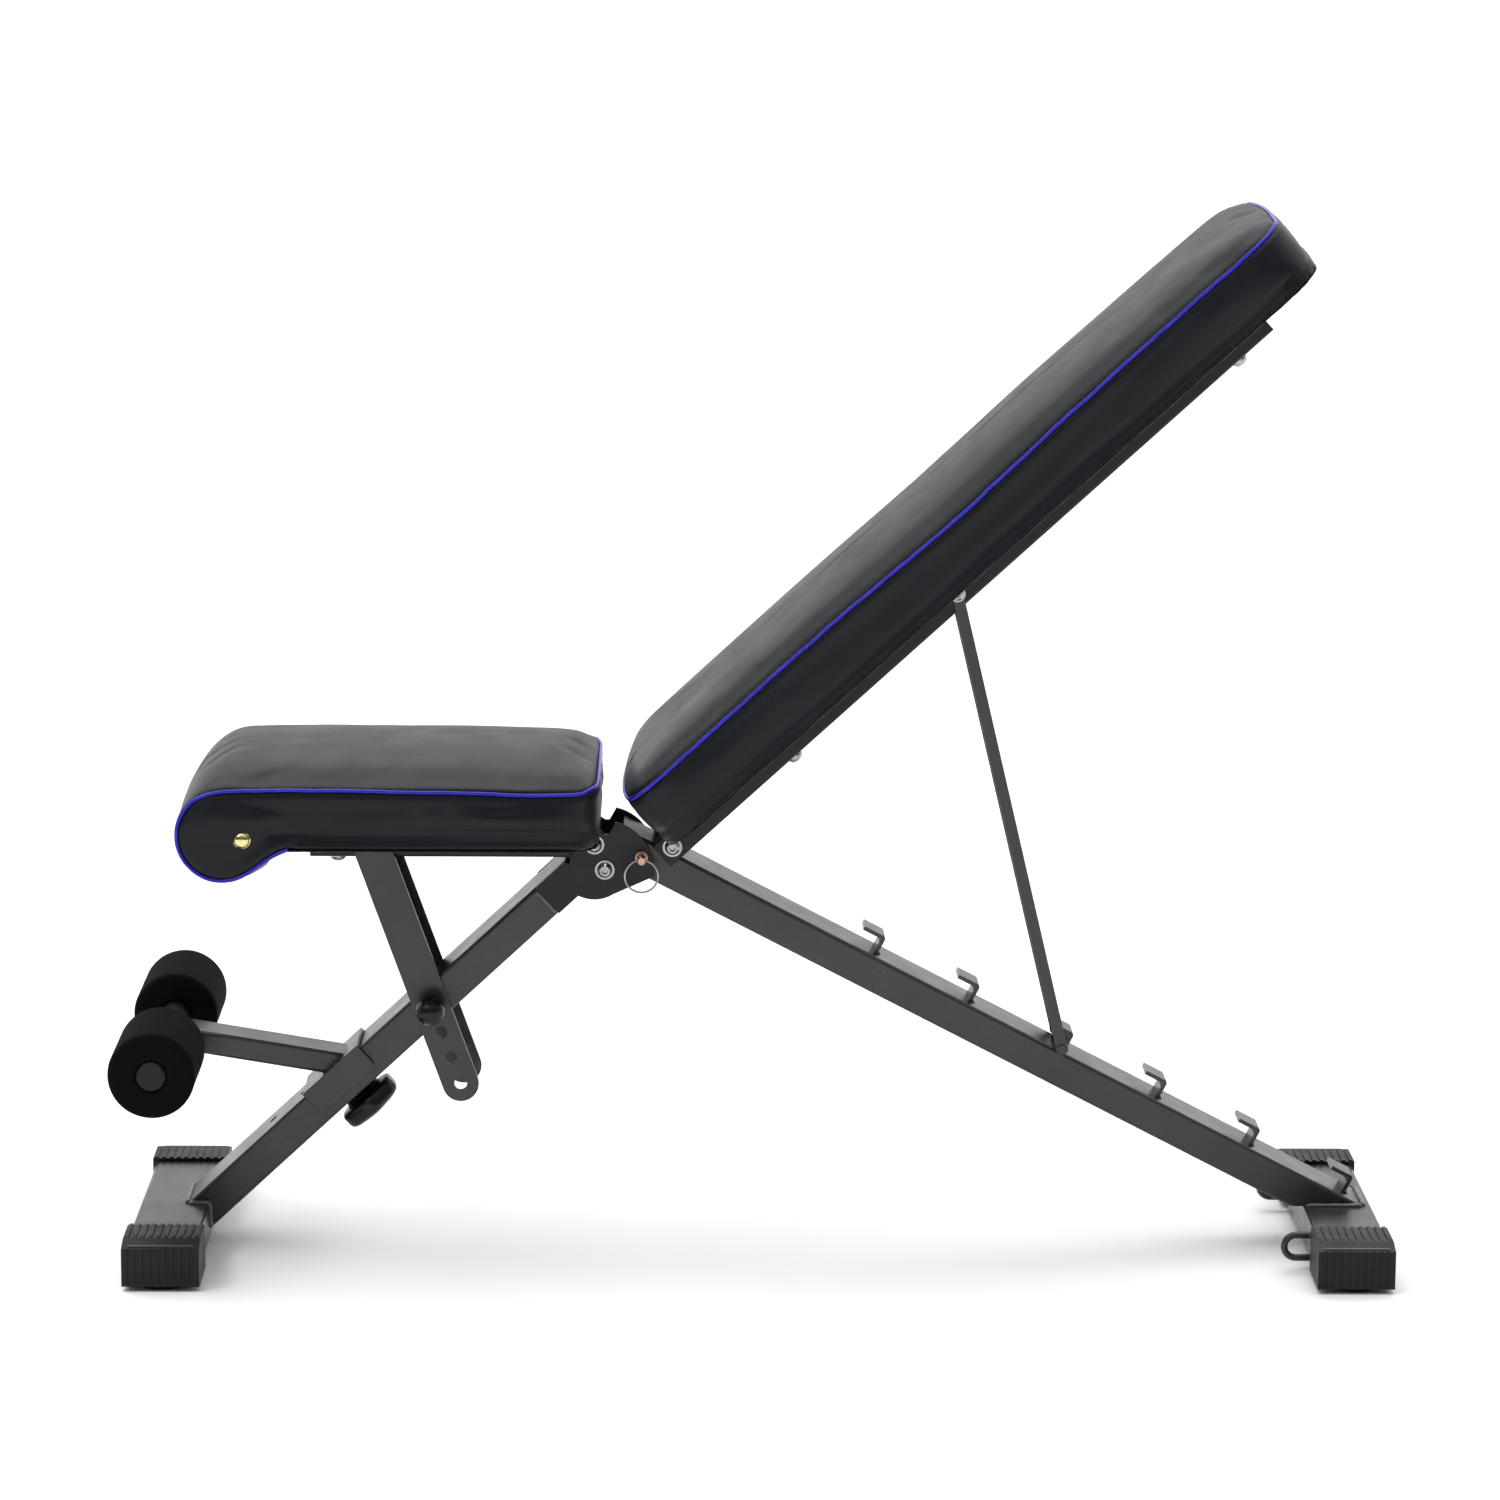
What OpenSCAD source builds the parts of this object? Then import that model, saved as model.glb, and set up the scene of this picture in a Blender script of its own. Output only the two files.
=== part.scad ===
// Adjustable weight bench: folding two-leg frame, hinged seat and backrest,
// a support bar that drops into six hooks, and an adjustable ankle hold-down.
// X runs along the bench (seat end at -X), Y across it, Z up from the floor.

/* [Stance] */
// Distance between the centres of the two foot tubes
foot_span = 1016; // [1000:2:1024]
// Offset of the rear foot's centre that centres the bench on the origin
rear_foot_x = 513; // [505:1:520]
// Slope of the rear leg below the horizontal, in degrees
rear_angle = 27.4; // [27:0.1:28]
// Slope of the front leg, in degrees
front_angle = 43; // [42.5:0.1:43.5]
// Length of each foot over its end caps
foot_width = 330; // [310:2:350]

/* [Tubes] */
// Width of the leg, foot and seat tubes across the bench
tube_w = 60; // [60:1:60]
// Height of the two leg tubes
leg_h = 30; // [28:1:31]
// Height of the foot tubes
foot_h = 32; // [30:1:34]
// Height of the seat tube and the backrest tube
rail_h = 25; // [24:1:26]
// Outer width of the backrest tube, which straddles the rear leg
back_tube_w = 66; // [66:0.5:66]
// Wall thickness of the steel tubes
wall = 1.5; // [1.2:0.1:2]

/* [Upholstery] */
// Width of both cushions
pad_w = 260; // [240:5:280]
// Height of the cushion's side panel above its board
side_h = 42; // [38:1:46]
// Height of the crown above the piping
crown_h = 25; // [18:1:28]
// Thickness of the plywood boards
board_t = 10; // [8:1:12]
// Slope of the backrest at rest, in degrees
back_angle = 42.55; // [42.2:0.05:42.9]
// Length of the backrest cushion
back_pad_len = 738; // [720:2:742]

/* [Support bar] */
// Distance from the backrest pivot to the support bar pivot
pivot_to_bar = 329; // [325:1:333]
// Distance between neighbouring hooks
hook_pitch = 93; // [92:0.5:94]
// Diameter of the support bar's cross rod
rod_d = 8; // [8:0.5:8.5]

/* [Seat] */
// Distance from the seat pivot to the post pivot
post_reach = 193; // [190:1:195]
// Distance between neighbouring holes in the seat post
post_pitch = 24.5; // [24:0.5:25]

/* [Hold-down] */
// Diameter of the foam rollers
roller_d = 74; // [68:1:78]
// Length of one foam roller
roller_len = 102; // [90:2:106]
// Distance between neighbouring holes in the front leg
leg_pitch = 37; // [36:0.5:38]

/* [Hidden] */
$fn = 48;
blend_fn = 32;

// Colours
paint = "#3a3a3c";
black = "#1b1b1c";
rubber = "#111112";
vinyl = "#232428";
zinc = "#b8babd";
ply = "#b08b5c";

// Small fits
gap = 0.5;
hinge_gap = 0.3;
run_fit = 0.05;

// Feet
pad_h = 4.5;
pad_d = 46;
cap_skin = 3;
cap_side = 3;
cap_len = 58;
tube_bottom = pad_h + cap_skin;
foot_top = tube_bottom + foot_h;
foot_mid = tube_bottom + foot_h / 2;
front_foot_x = rear_foot_x - foot_span;
foot_end = foot_width / 2;

// Height of each leg's centre line above the floor at the foot's centre
rear_rise = 34.2;
front_rise = 8.6;

// Points in the X-Z plane: distance s up a leg from its foot, n above its centre line
function rear_pt(s, n = 0) = [
    rear_foot_x - s * cos(rear_angle) + n * sin(rear_angle),
    rear_rise + s * sin(rear_angle) + n * cos(rear_angle)];
function front_pt(s, n = 0) = [
    front_foot_x + s * cos(front_angle) - n * sin(front_angle),
    front_rise + s * sin(front_angle) + n * cos(front_angle)];

// Stations along the rear leg
rear_len = 712;
lock_s = 687;
hook3_s = 285.6;
fold_s = 710;
fold_n = -24.4;
slot_len = 22;
fold_pivot = rear_pt(fold_s, fold_n);
lock_pt = rear_pt(lock_s);
back_pivot = rear_pt(667.6, leg_h / 2 + 5.3);

// Stations along the front leg
front_len = 479;
seat_pin_s = 307;
hold_s = 203;
seat_pivot = [-137.5, 361.5];
pin_pt = front_pt(seat_pin_s);

// Plates beside the tubes
plate_t = 3;
plate_y = tube_w / 2 + gap;
plate_r = 42.5;
bolt_r = 5;
small_bolt_r = 4;

// Seat
seat_rear_x = -131.5;
seat_tube_len = 243.5;
seat_top = seat_pivot[1] + rail_h / 2;
seat_len = 316.5;
nose_r = 38;
nose_mid = [seat_rear_x - seat_len, seat_top + 13.5];
seat_board_x = nose_mid[0] + nose_r + 0.5;
skirt = 8;
post_pivot = [seat_pivot[0] - post_reach, seat_pivot[1]];

// Seat post: from the post pivot through the pin in its first hole
post_dx = pin_pt[0] - post_pivot[0];
post_dz = pin_pt[1] - post_pivot[1];
post_first = sqrt(post_dx * post_dx + post_dz * post_dz);
post_angle = atan2(-post_dz, post_dx);
post_w = 31.5;
post_holes = 4;
post_hole_r = 5.5;

// Backrest
back_pad_start = 7;
back_tube_end = 676;
ear_len = 50;
ear_back = 13;

// Support bar
bar_w = 10;
bar_t = 5;
bar_y = back_tube_w / 2 + 1;
bar_pivot = [
    back_pivot[0] + pivot_to_bar * cos(back_angle),
    back_pivot[1] + pivot_to_bar * sin(back_angle)];
rod_pt = rear_pt(hook3_s, leg_h / 2 + rod_d / 2 + hinge_gap);
bar_dx = rod_pt[0] - bar_pivot[0];
bar_dz = rod_pt[1] - bar_pivot[1];
bar_len = sqrt(bar_dx * bar_dx + bar_dz * bar_dz);
bar_angle = atan2(-bar_dz, bar_dx);

// Hooks
hook_t = 3.5;
hook_w = 30;
hook_in = 13.5;
hook_reach = 13.5;

// Hold-down
axle_pt = [-509, 186.5];
axle_r = 12.5;
arm_angle = 9.3;
arm_w = 40;
arm_h = 20;
saddle_len = 65;
saddle_drop = 22;
roller_end = 160;

// ---------------------------------------------------------------- helpers

module rounded_rect(w, h, r) {
    square([w - 2 * r, h], center = true);
    square([w, h - 2 * r], center = true);
    for (sx = [-1, 1], sy = [-1, 1])
        translate([sx * (w / 2 - r), sy * (h / 2 - r)]) circle(r);
}

module tube_profile(w, h, t) {
    difference() {
        rounded_rect(w, h, 3);
        rounded_rect(w - 2 * t, h - 2 * t, 1.6);
    }
}

// Tube along +X, centred in Y and Z
module tube_x(len, w, h, t = wall) {
    rotate([90, 0, 90]) linear_extrude(len) tube_profile(w, h, t);
}

// Flat outline in X-Z, extruded across the bench about y
module plate(y, t) {
    translate([0, y, 0]) rotate([90, 0, 0]) linear_extrude(t, center = true) children();
}

module both_plates(inner_y, t) {
    for (side = [-1, 1]) plate(side * (inner_y + t / 2), t) children();
}

// Round bar across the bench from y0 to y1 at the point p of the X-Z plane
module cross_rod(p, r, y0, y1) {
    translate([p[0], y1, p[1]]) rotate([90, 0, 0]) cylinder(r = r, h = y1 - y0);
}

module bore(p, r) { cross_rod(p, r, -120, 120); }

module at_point(p) { translate([p[0], 0, p[1]]) children(); }

// Frames: local +X runs down the rear leg, up the front leg and up the backrest
module on_rear() { translate([rear_foot_x, 0, rear_rise]) rotate([0, rear_angle, 0]) children(); }
module on_front() { translate([front_foot_x, 0, front_rise]) rotate([0, -front_angle, 0]) children(); }
module on_back() { at_point(back_pivot) rotate([0, -back_angle, 0]) children(); }

// Button-head bolt across the bench: head and washer at -Y
module cross_bolt(p, r, head_y, tip_y) {
    cross_rod(p, r, -head_y, tip_y);
    cross_rod(p, r * 1.7, -head_y - 1.5, -head_y);
    translate([p[0], -head_y - 1.5, p[1]]) rotate([90, 0, 0]) difference() {
        union() {
            cylinder(r = r * 1.3, h = r * 0.4);
            translate([0, 0, r * 0.4]) cylinder(r1 = r * 1.3, r2 = r * 0.85, h = r * 0.6);
        }
        translate([0, 0, r * 0.4]) cylinder(r = r * 0.6, h = r, $fn = 6);
    }
}

// Dome lock nut with its washer on the far side, bored for the bolt
module cross_nut(p, r, y) {
    translate([p[0], y, p[1]]) rotate([-90, 0, 0]) difference() {
        union() {
            cylinder(r = r * 1.7, h = 1.5);
            translate([0, 0, 1.5]) cylinder(r = r * 1.6, h = r * 1.3, $fn = 6);
            translate([0, 0, 1.5 + r * 1.3]) cylinder(r = r * 1.3, h = r * 0.5);
        }
        translate([0, 0, -1]) cylinder(r = r, h = 1 + r * 1.2);
    }
}

// ------------------------------------------------------------ rear frame

module rear_leg() {
    color(paint) difference() {
        on_rear() translate([-rear_len, 0, 0]) tube_x(rear_len + 60, tube_w, leg_h);
        translate([rear_foot_x - 150, -60, foot_top - 120]) cube([300, 120, 120]);
        // the underside is open at the top end, where the tongues come out
        on_rear() translate([-rear_len - 1, wall - tube_w / 2, -leg_h / 2 - 1])
            cube([slot_len + 1, tube_w - 2 * wall, wall + 3]);
        bore(back_pivot, bush_r);
        bore(lock_pt, small_bolt_r + 0.3);
    }
}

module foot_tube(x) {
    translate([x, 0, foot_mid]) rotate([0, 0, 90])
        translate([-foot_end + cap_side, 0, 0])
            tube_x(foot_width - 2 * cap_side, tube_w, foot_h);
}

module rear_foot() { color(paint) foot_tube(rear_foot_x); }

// Ribbed end cap: a socket over the tube's end, bevelled on its top outer edge
module foot_cap(x, side) {
    cap_w = tube_w + 2 * cap_side;
    cap_h = foot_h + 2 * cap_skin;
    rib = 3.3;
    rise = 1.2;
    ribs = 10;
    color(black) translate([x, side * foot_end, pad_h]) scale([1, -side, 1]) difference() {
        union() {
            translate([-cap_w / 2, 0, 0]) cube([cap_w, cap_len, cap_h]);
            for (i = [0 : ribs - 1])
                translate([-cap_w / 2 + 1.7 + i * (cap_w - 2 * 1.7 - rib) / (ribs - 1), 1, cap_h])
                    cube([rib, cap_len - 1, rise]);
        }
        // pocket for the tube
        translate([0, cap_len / 2 + cap_side, cap_h / 2]) rotate([90, 0, 0])
            linear_extrude(cap_len, center = true) rounded_rect(tube_w, foot_h, 3);
        // bevel along the top outer edge
        translate([-cap_w, 0, cap_h - 5]) rotate([17, 0, 0]) cube([2 * cap_w, 30, 30]);
        translate([-cap_w, -20, cap_h - 5]) cube([2 * cap_w, 20, 30]);
        // grooves down the end face
        for (i = [0 : ribs - 2])
            translate([-cap_w / 2 + 1.7 + rib + i * (cap_w - 2 * 1.7 - rib) / (ribs - 1), -1, 3])
                cube([rib * 0.85, 1.8, cap_h]);
    }
}

module rear_cap_near() { foot_cap(rear_foot_x, -1); }
module rear_cap_far() { foot_cap(rear_foot_x, 1); }

// Round rubber pads under the caps, with a rounded lower rim
module foot_pads(x) {
    color(rubber) for (side = [-1, 1])
        translate([x, side * (foot_end - cap_len / 2), 0]) {
            cylinder(r1 = pad_d / 2 - 1.5, r2 = pad_d / 2, h = 1.5);
            translate([0, 0, 1.5]) cylinder(r = pad_d / 2, h = pad_h - 1.5);
        }
}

module rear_pads() { foot_pads(rear_foot_x); }

// Two tongues inside the leg's top end that reach down to the fold pivot
module hinge_tongue() {
    pivot = [-fold_s, fold_n];
    ear_r = 9.5;
    floor_n = -leg_h / 2 + wall;
    color(paint) difference() {
        on_rear() both_plates(24, tube_w / 2 - wall - 24) {
            translate(pivot) circle(ear_r);
            polygon([[-rear_len + 40, floor_n + 1.9], [-rear_len + 40, 4], [-rear_len + 4, 4],
                     pivot + [-9, 2.4], pivot, pivot + [7.6, -5.6],
                     [-rear_len + slot_len - 1, floor_n - 1.8], [-rear_len + slot_len - 1, floor_n + 1.9]]);
        }
        bore(fold_pivot, bolt_r + run_fit);
        bore(lock_pt, small_bolt_r + 0.3);
    }
}

bush_r = 10;
bush_half = plate_y - 0.3;

module back_bush() {
    color(paint) difference() {
        cross_rod(back_pivot, bush_r, -bush_half, bush_half);
        bore(back_pivot, bolt_r + run_fit);
    }
}

// Hook bent from flat strip; its lip points up the leg
module hook(index) {
    s = hook3_s + (3 - index) * hook_pitch;
    back = rod_d / 2 + hinge_gap;
    bend = 3.2;
    color(paint) on_rear() translate([-s, 0, leg_h / 2])
        plate(0, hook_w) difference() {
            union() {
                translate([back, 0]) square([hook_t, hook_in + hook_t - bend]);
                translate([-hook_reach, hook_in])
                    square([hook_reach + back + hook_t - bend, hook_t]);
                translate([back + hook_t - bend, hook_in + hook_t - bend]) circle(bend);
                translate([back - 1.5, hook_in - 1.5]) square([2, 2]);
            }
            translate([back - 1.5, hook_in - 1.5]) circle(1.5);
        }
}

module hook_1() { hook(1); }
module hook_2() { hook(2); }
module hook_3() { hook(3); }
module hook_4() { hook(4); }
module hook_5() { hook(5); }
module hook_6() { hook(6); }

// U of round rod welded to the foot tube's inner face, for an exercise band
module band_loop(side) {
    rod_r = 3;
    bend_r = 10;
    face = rear_foot_x - tube_w / 2;
    reach = 14;
    color(paint) translate([face - reach, side * 96, foot_mid - 1]) rotate([90, 0, 0]) {
        rotate([0, 0, 90]) rotate_extrude(angle = 180) translate([bend_r, 0]) circle(rod_r);
        for (up = [-1, 1])
            translate([0, up * bend_r, 0]) rotate([0, 90, 0]) cylinder(r = rod_r, h = reach);
    }
}

module band_loop_near() { band_loop(-1); }
module band_loop_far() { band_loop(1); }

// ----------------------------------------------------------- front frame

module front_leg() {
    color(paint) difference() {
        on_front() tube_x(front_len, tube_w, leg_h);
        translate([front_foot_x - 150, -60, tube_bottom - 100])
            cube([150 + tube_w / 2, 120, 100 + foot_h]);
        bore(pin_pt, small_bolt_r + run_fit);
        // adjustment holes for the hold-down, through both walls
        for (i = [0 : 2])
            on_front() translate([hold_s - i * leg_pitch, 0, 0])
                cylinder(r = 4.6, h = 60, center = true);
    }
}

module front_foot() { color(paint) foot_tube(front_foot_x); }
module front_cap_near() { foot_cap(front_foot_x, -1); }
module front_cap_far() { foot_cap(front_foot_x, 1); }
module front_pads() { foot_pads(front_foot_x); }

// Hinge plate outline: round about the fold pivot, with a wider sector over the rear leg
module hinge_outline() {
    low = -9;
    high = 78;
    heel_r = 31;
    skirt_r = 30.5;
    skirt_mid = [-9, 4];
    inner_r = plate_r - 0.2;
    toe = plate_r * [cos(low), sin(low)] - skirt_mid;
    tangent = atan2(toe[1], toe[0]) - acos(skirt_r / norm(toe));
    translate(fold_pivot) {
        intersection() {
            circle(heel_r);
            translate([-40, -0.5]) square([80, 40]);
        }
        intersection() {
            translate(skirt_mid) circle(skirt_r);
            translate([-50, -40]) square([100, 40.5]);
        }
        intersection() {
            circle(plate_r);
            polygon([[0, 0], 80 * [cos(low), sin(low)], 80 * [cos(32), sin(32)],
                     80 * [cos(high), sin(high)]]);
        }
        polygon([[-1, 1], skirt_mid + (skirt_r - 0.3) * [cos(tangent), sin(tangent)],
                 inner_r * [cos(low + 0.5), sin(low + 0.5)]]);
        polygon([[1, -1], inner_r * [cos(high - 0.5), sin(high - 0.5)],
                 seat_pivot - fold_pivot + [11.5, 7.5], seat_pivot - fold_pivot]);
    }
    translate(seat_pivot) circle(12);
    polygon([front_pt(front_len - 35, -leg_h / 2), front_pt(front_len + 8, -leg_h / 2),
             front_pt(front_len, leg_h / 2), front_pt(front_len - 35, leg_h / 2)]);
}

module hinge_plate(side) {
    color(paint) difference() {
        plate(side * (plate_y + plate_t / 2), plate_t) hinge_outline();
        bore(fold_pivot, bolt_r);
        bore(seat_pivot, bolt_r);
        bore(lock_pt, small_bolt_r + 0.4);
    }
}

module hinge_plate_near() { hinge_plate(-1); }
module hinge_plate_far() { hinge_plate(1); }

module fold_bolt() { color(zinc) cross_bolt(fold_pivot, bolt_r, plate_y + plate_t, plate_y + plate_t + 6); }
module seat_bolt() { color(zinc) cross_bolt(seat_pivot, bolt_r, plate_y + plate_t, plate_y + plate_t + 6); }
module frame_nuts() {
    color(zinc) {
        cross_nut(fold_pivot, bolt_r, plate_y + plate_t);
        cross_nut(seat_pivot, bolt_r, plate_y + plate_t);
    }
}

// Pull pin: the shaft is interrupted where it crosses the swinging plates
module pull_pin(p, r, inner_y, outer_y, collar_r, stem_y) {
    cross_rod(p, r, -inner_y, inner_y);
    cross_rod(p, r, outer_y, outer_y + 5);
    cross_rod(p, collar_r, -outer_y - 2.5, -outer_y);
    cross_rod(p, r * 0.9, -stem_y, -outer_y - 2.5);
}

lock_outer = plate_y + plate_t + hinge_gap;

module lock_pin() {
    color(zinc) difference() {
        union() {
            pull_pin(lock_pt, small_bolt_r, plate_y - 0.3, lock_outer, 5.5, lock_outer + 14);
            at_point(lock_pt) translate([0, -lock_outer - 14, 0]) rotate([90, 0, 0])
                cylinder(r1 = 4.2, r2 = 2.8, h = 2);
        }
        at_point(lock_pt) translate([0, ring_y, 0]) rotate([0, 90, 0])
            cylinder(r = 1.9, h = 20, center = true);
    }
}

ring_y = -lock_outer - 11;
ring_r = 14.3;

// Split ring hanging in the pin's cross hole
module lock_ring() {
    color(zinc) at_point(lock_pt) translate([0, ring_y, -ring_r]) rotate([90, 0, 0])
        rotate_extrude() translate([ring_r, 0]) circle(0.9);
}

module seat_pin() {
    color(zinc) pull_pin(pin_pt, small_bolt_r, plate_y - 0.3, lock_outer, 7.5, lock_outer + 12);
}

module seat_pin_ball() {
    ball_r = 12.5;
    neck = lock_outer + 2.6;
    color(black) at_point(pin_pt) difference() {
        union() {
            translate([0, -lock_outer - 18.5, 0]) sphere(ball_r);
            translate([0, -neck, 0]) rotate([90, 0, 0]) cylinder(r1 = 9.5, r2 = 8, h = 8);
        }
        translate([0, -lock_outer - 12, 0]) rotate([-90, 0, 0])
            cylinder(r = small_bolt_r * 0.9, h = 60);
    }
}

// ------------------------------------------------------------------ seat

module seat_tube() {
    end_r = rail_h / 2;
    slot = 24;
    color(paint) difference() {
        union() {
            translate([seat_pivot[0] - seat_tube_len, 0, seat_pivot[1]])
                tube_x(seat_tube_len - slot, tube_w, rail_h);
            both_plates(tube_w / 2 - wall, wall) union() {
                translate(seat_pivot) circle(end_r);
                translate([seat_pivot[0] - slot, seat_pivot[1] - end_r]) square([slot, rail_h]);
            }
        }
        bore(seat_pivot, bolt_r + run_fit);
        bore(post_pivot, small_bolt_r);
        for (x = screw_x) translate([x, 0, seat_pivot[1] - rail_h]) cylinder(r = 3, h = 2 * rail_h);
    }
}

// Push-in plastic plug for an open tube end facing -X
module tube_plug(w, h) {
    color(black) {
        translate([-1.5, 0, 0]) rotate([90, 0, 90]) linear_extrude(1.5) rounded_rect(w, h, 3);
        rotate([90, 0, 90]) linear_extrude(12) tube_profile(w - 2 * wall, h - 2 * wall, 1.5);
    }
}

module seat_plug() {
    translate([seat_pivot[0] - seat_tube_len, 0, seat_pivot[1]]) tube_plug(tube_w, rail_h);
}

screw_x = [seat_pivot[0] - seat_tube_len + 21, seat_pivot[0] - 60];

module seat_board_shape() {
    len = seat_rear_x - skirt - seat_board_x;
    translate([seat_board_x + len / 2, 0, seat_top])
        linear_extrude(board_t) rounded_rect(len, pad_w - 2 * skirt, 16);
}

module seat_board() {
    color(ply) difference() {
        seat_board_shape();
        for (x = screw_x) translate([x, 0, seat_top - 1]) cylinder(r = 3, h = board_t);
    }
}

// Slab across the bench between two heights, with its ends at x0 and x1
module slab(x0, x1, half_w, z0, z1) {
    translate([x0, -half_w, z0]) cube([x1 - x0, 2 * half_w, z1 - z0]);
}

// Seat cushion: domed top, and a nose that rolls down over the front edge
module seat_pad() {
    side_top = seat_top + board_t + side_h;
    half_w = pad_w / 2;
    chamfer = 10;
    color(vinyl) difference() {
        union() {
            hull($fn = blend_fn) {
                slab(nose_mid[0], seat_rear_x, half_w, seat_top, side_top - chamfer);
                slab(nose_mid[0], seat_rear_x - chamfer + 2, half_w, side_top - 2, side_top);
                slab(nose_mid[0] + 20, seat_rear_x - 50, half_w - 70, side_top, side_top + crown_h);
            }
            plate(0, pad_w) translate(nose_mid) circle(nose_r);
            hull($fn = blend_fn) {
                plate(0, pad_w) translate(nose_mid) circle(nose_r);
                plate(0, pad_w - 140) translate(nose_mid + [2, 4]) circle(nose_r + 11);
                slab(nose_mid[0], nose_mid[0] + 40, half_w - 70, side_top, side_top + crown_h);
            }
        }
        translate([seat_board_x, -half_w - 1, seat_top - 60]) cube([200, pad_w + 2, 60]);
        seat_board_shape();
    }
}

// Brass studs that hold the cover at the nose, one on each side
module seat_studs() {
    color("#c9a227") for (side = [-1, 1])
        translate([nose_mid[0] + 15.6, side * pad_w / 2, nose_mid[1] - 3]) rotate([-90 * side, 0, 0]) {
            cylinder(r = 7, h = 1.2);
            translate([0, 0, 1.2]) cylinder(r1 = 7, r2 = 4.5, h = 1.8);
        }
}

// Dome-head screw from below through a rail of height h into the board above it
module rail_screw(h) {
    translate([0, 0, -h / 2 - 9.2]) cylinder(r1 = 3.2, r2 = 5.8, h = 1.6);
    translate([0, 0, -h / 2 - 7.6]) cylinder(r1 = 5.8, r2 = 7.2, h = 2.4);
    translate([0, 0, -h / 2 - 5.2]) cylinder(r = 7.2, h = 3.8);
    translate([0, 0, -h / 2 - 1.4]) cylinder(r = 8.5, h = 1.4);
    translate([0, 0, -h / 2]) cylinder(r = 3, h = h + board_t - 1);
}

// Low-head screw for the place where the front leg comes close under the rail
module low_rail_screw(h) {
    translate([0, 0, -h / 2 - 4]) cylinder(r1 = 4.5, r2 = 6.5, h = 2.6);
    translate([0, 0, -h / 2 - 1.4]) cylinder(r = 8.5, h = 1.4);
    translate([0, 0, -h / 2]) cylinder(r = 3, h = h + board_t - 1);
}

module seat_pad_screws() {
    color(zinc) {
        translate([screw_x[0], 0, seat_pivot[1]]) rail_screw(rail_h);
        translate([screw_x[1], 0, seat_pivot[1]]) low_rail_screw(rail_h);
    }
}

module post_bolt() {
    color(zinc) {
        cross_bolt(post_pivot, small_bolt_r, plate_y + plate_t + hinge_gap, plate_y + plate_t + 5);
        cross_nut(post_pivot, small_bolt_r, plate_y + plate_t + hinge_gap);
    }
}

// Channel post that straddles the seat tube and the front leg
module seat_post() {
    len = post_first + (post_holes - 1) * post_pitch;
    post_top = 5;
    web_top = 24;
    web_len = post_first - 34 - web_top;
    color(paint) difference() {
        at_point(post_pivot) rotate([0, post_angle, 0]) {
            both_plates(plate_y, plate_t) {
                translate([post_top, 0]) circle(post_w / 2);
                translate([post_top, -post_w / 2]) square([len - post_top, post_w]);
                translate([len, 0]) circle(post_w / 2);
            }
            translate([web_top, -plate_y, -post_w / 2]) cube([web_len, 2 * plate_y, plate_t]);
        }
        bore(post_pivot, small_bolt_r + run_fit);
        at_point(post_pivot) rotate([0, post_angle, 0]) for (i = [0 : post_holes - 1])
            bore([post_first + i * post_pitch, 0], post_hole_r);
    }
}

// ------------------------------------------------------------- hold-down

// Saddle over the front leg, with cheeks down both sides
module hold_saddle() {
    inner = leg_h / 2 + gap;
    edge_r = 6;
    color(paint) on_front() translate([hold_s, 0, 0]) {
        difference() {
            translate([-saddle_len / 2, -plate_y - plate_t, inner])
                cube([saddle_len, 2 * (plate_y + plate_t), plate_t]);
            cylinder(r = 4 + run_fit, h = 60);
        }
        both_plates(plate_y, plate_t) union() {
            translate([-saddle_len / 2, inner - saddle_drop + edge_r])
                square([saddle_len, saddle_drop - edge_r]);
            translate([-saddle_len / 2 + edge_r, inner - saddle_drop])
                square([saddle_len - 2 * edge_r, edge_r]);
            for (side = [-1, 1])
                translate([side * (saddle_len / 2 - edge_r), inner - saddle_drop + edge_r])
                    circle(edge_r);
        }
    }
}

// Arm from the saddle to the roller axle, cut to both
module hold_arm() {
    color(paint) difference() {
        at_point(axle_pt) rotate([0, arm_angle, 0]) tube_x(200, arm_w, arm_h);
        cross_rod(axle_pt, axle_r, -60, 60);
        on_front() translate([0, -100, -200]) cube([600, 200, 200 + leg_h / 2 + gap + plate_t]);
    }
}

axle_half = roller_end - 2;

module hold_axle() {
    color(paint) difference() {
        cross_rod(axle_pt, axle_r, -axle_half, axle_half);
        cross_rod(axle_pt, axle_r - wall, -axle_half - 1, axle_half + 1);
    }
}

// Plastic plugs in the axle's ends; their flanges keep the rollers on
module axle_plugs() {
    color(black) for (side = [-1, 1])
        at_point(axle_pt) translate([0, side * axle_half, 0]) rotate([-90 * side, 0, 0]) {
            translate([0, 0, -14]) cylinder(r = axle_r - wall, h = 14);
            cylinder(r = axle_r, h = 1);
            translate([0, 0, 1]) cylinder(r1 = axle_r, r2 = axle_r - 1.5, h = 1.2);
        }
}

module foam_roller(side) {
    edge_r = 5;
    inner = axle_r + 0.08;
    len = roller_len;
    start = roller_end - len;
    color(rubber) at_point(axle_pt) rotate([-90 * side, 0, 0]) translate([0, 0, start])
        rotate_extrude($fn = 72) {
            translate([inner, 0]) square([roller_d / 2 - inner - edge_r, len]);
            translate([inner, edge_r]) square([roller_d / 2 - inner, len - 2 * edge_r]);
            for (z = [edge_r, len - edge_r])
                translate([roller_d / 2 - edge_r, z]) circle(edge_r);
        }
}

module roller_near() { foam_roller(-1); }
module roller_far() { foam_roller(1); }

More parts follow.
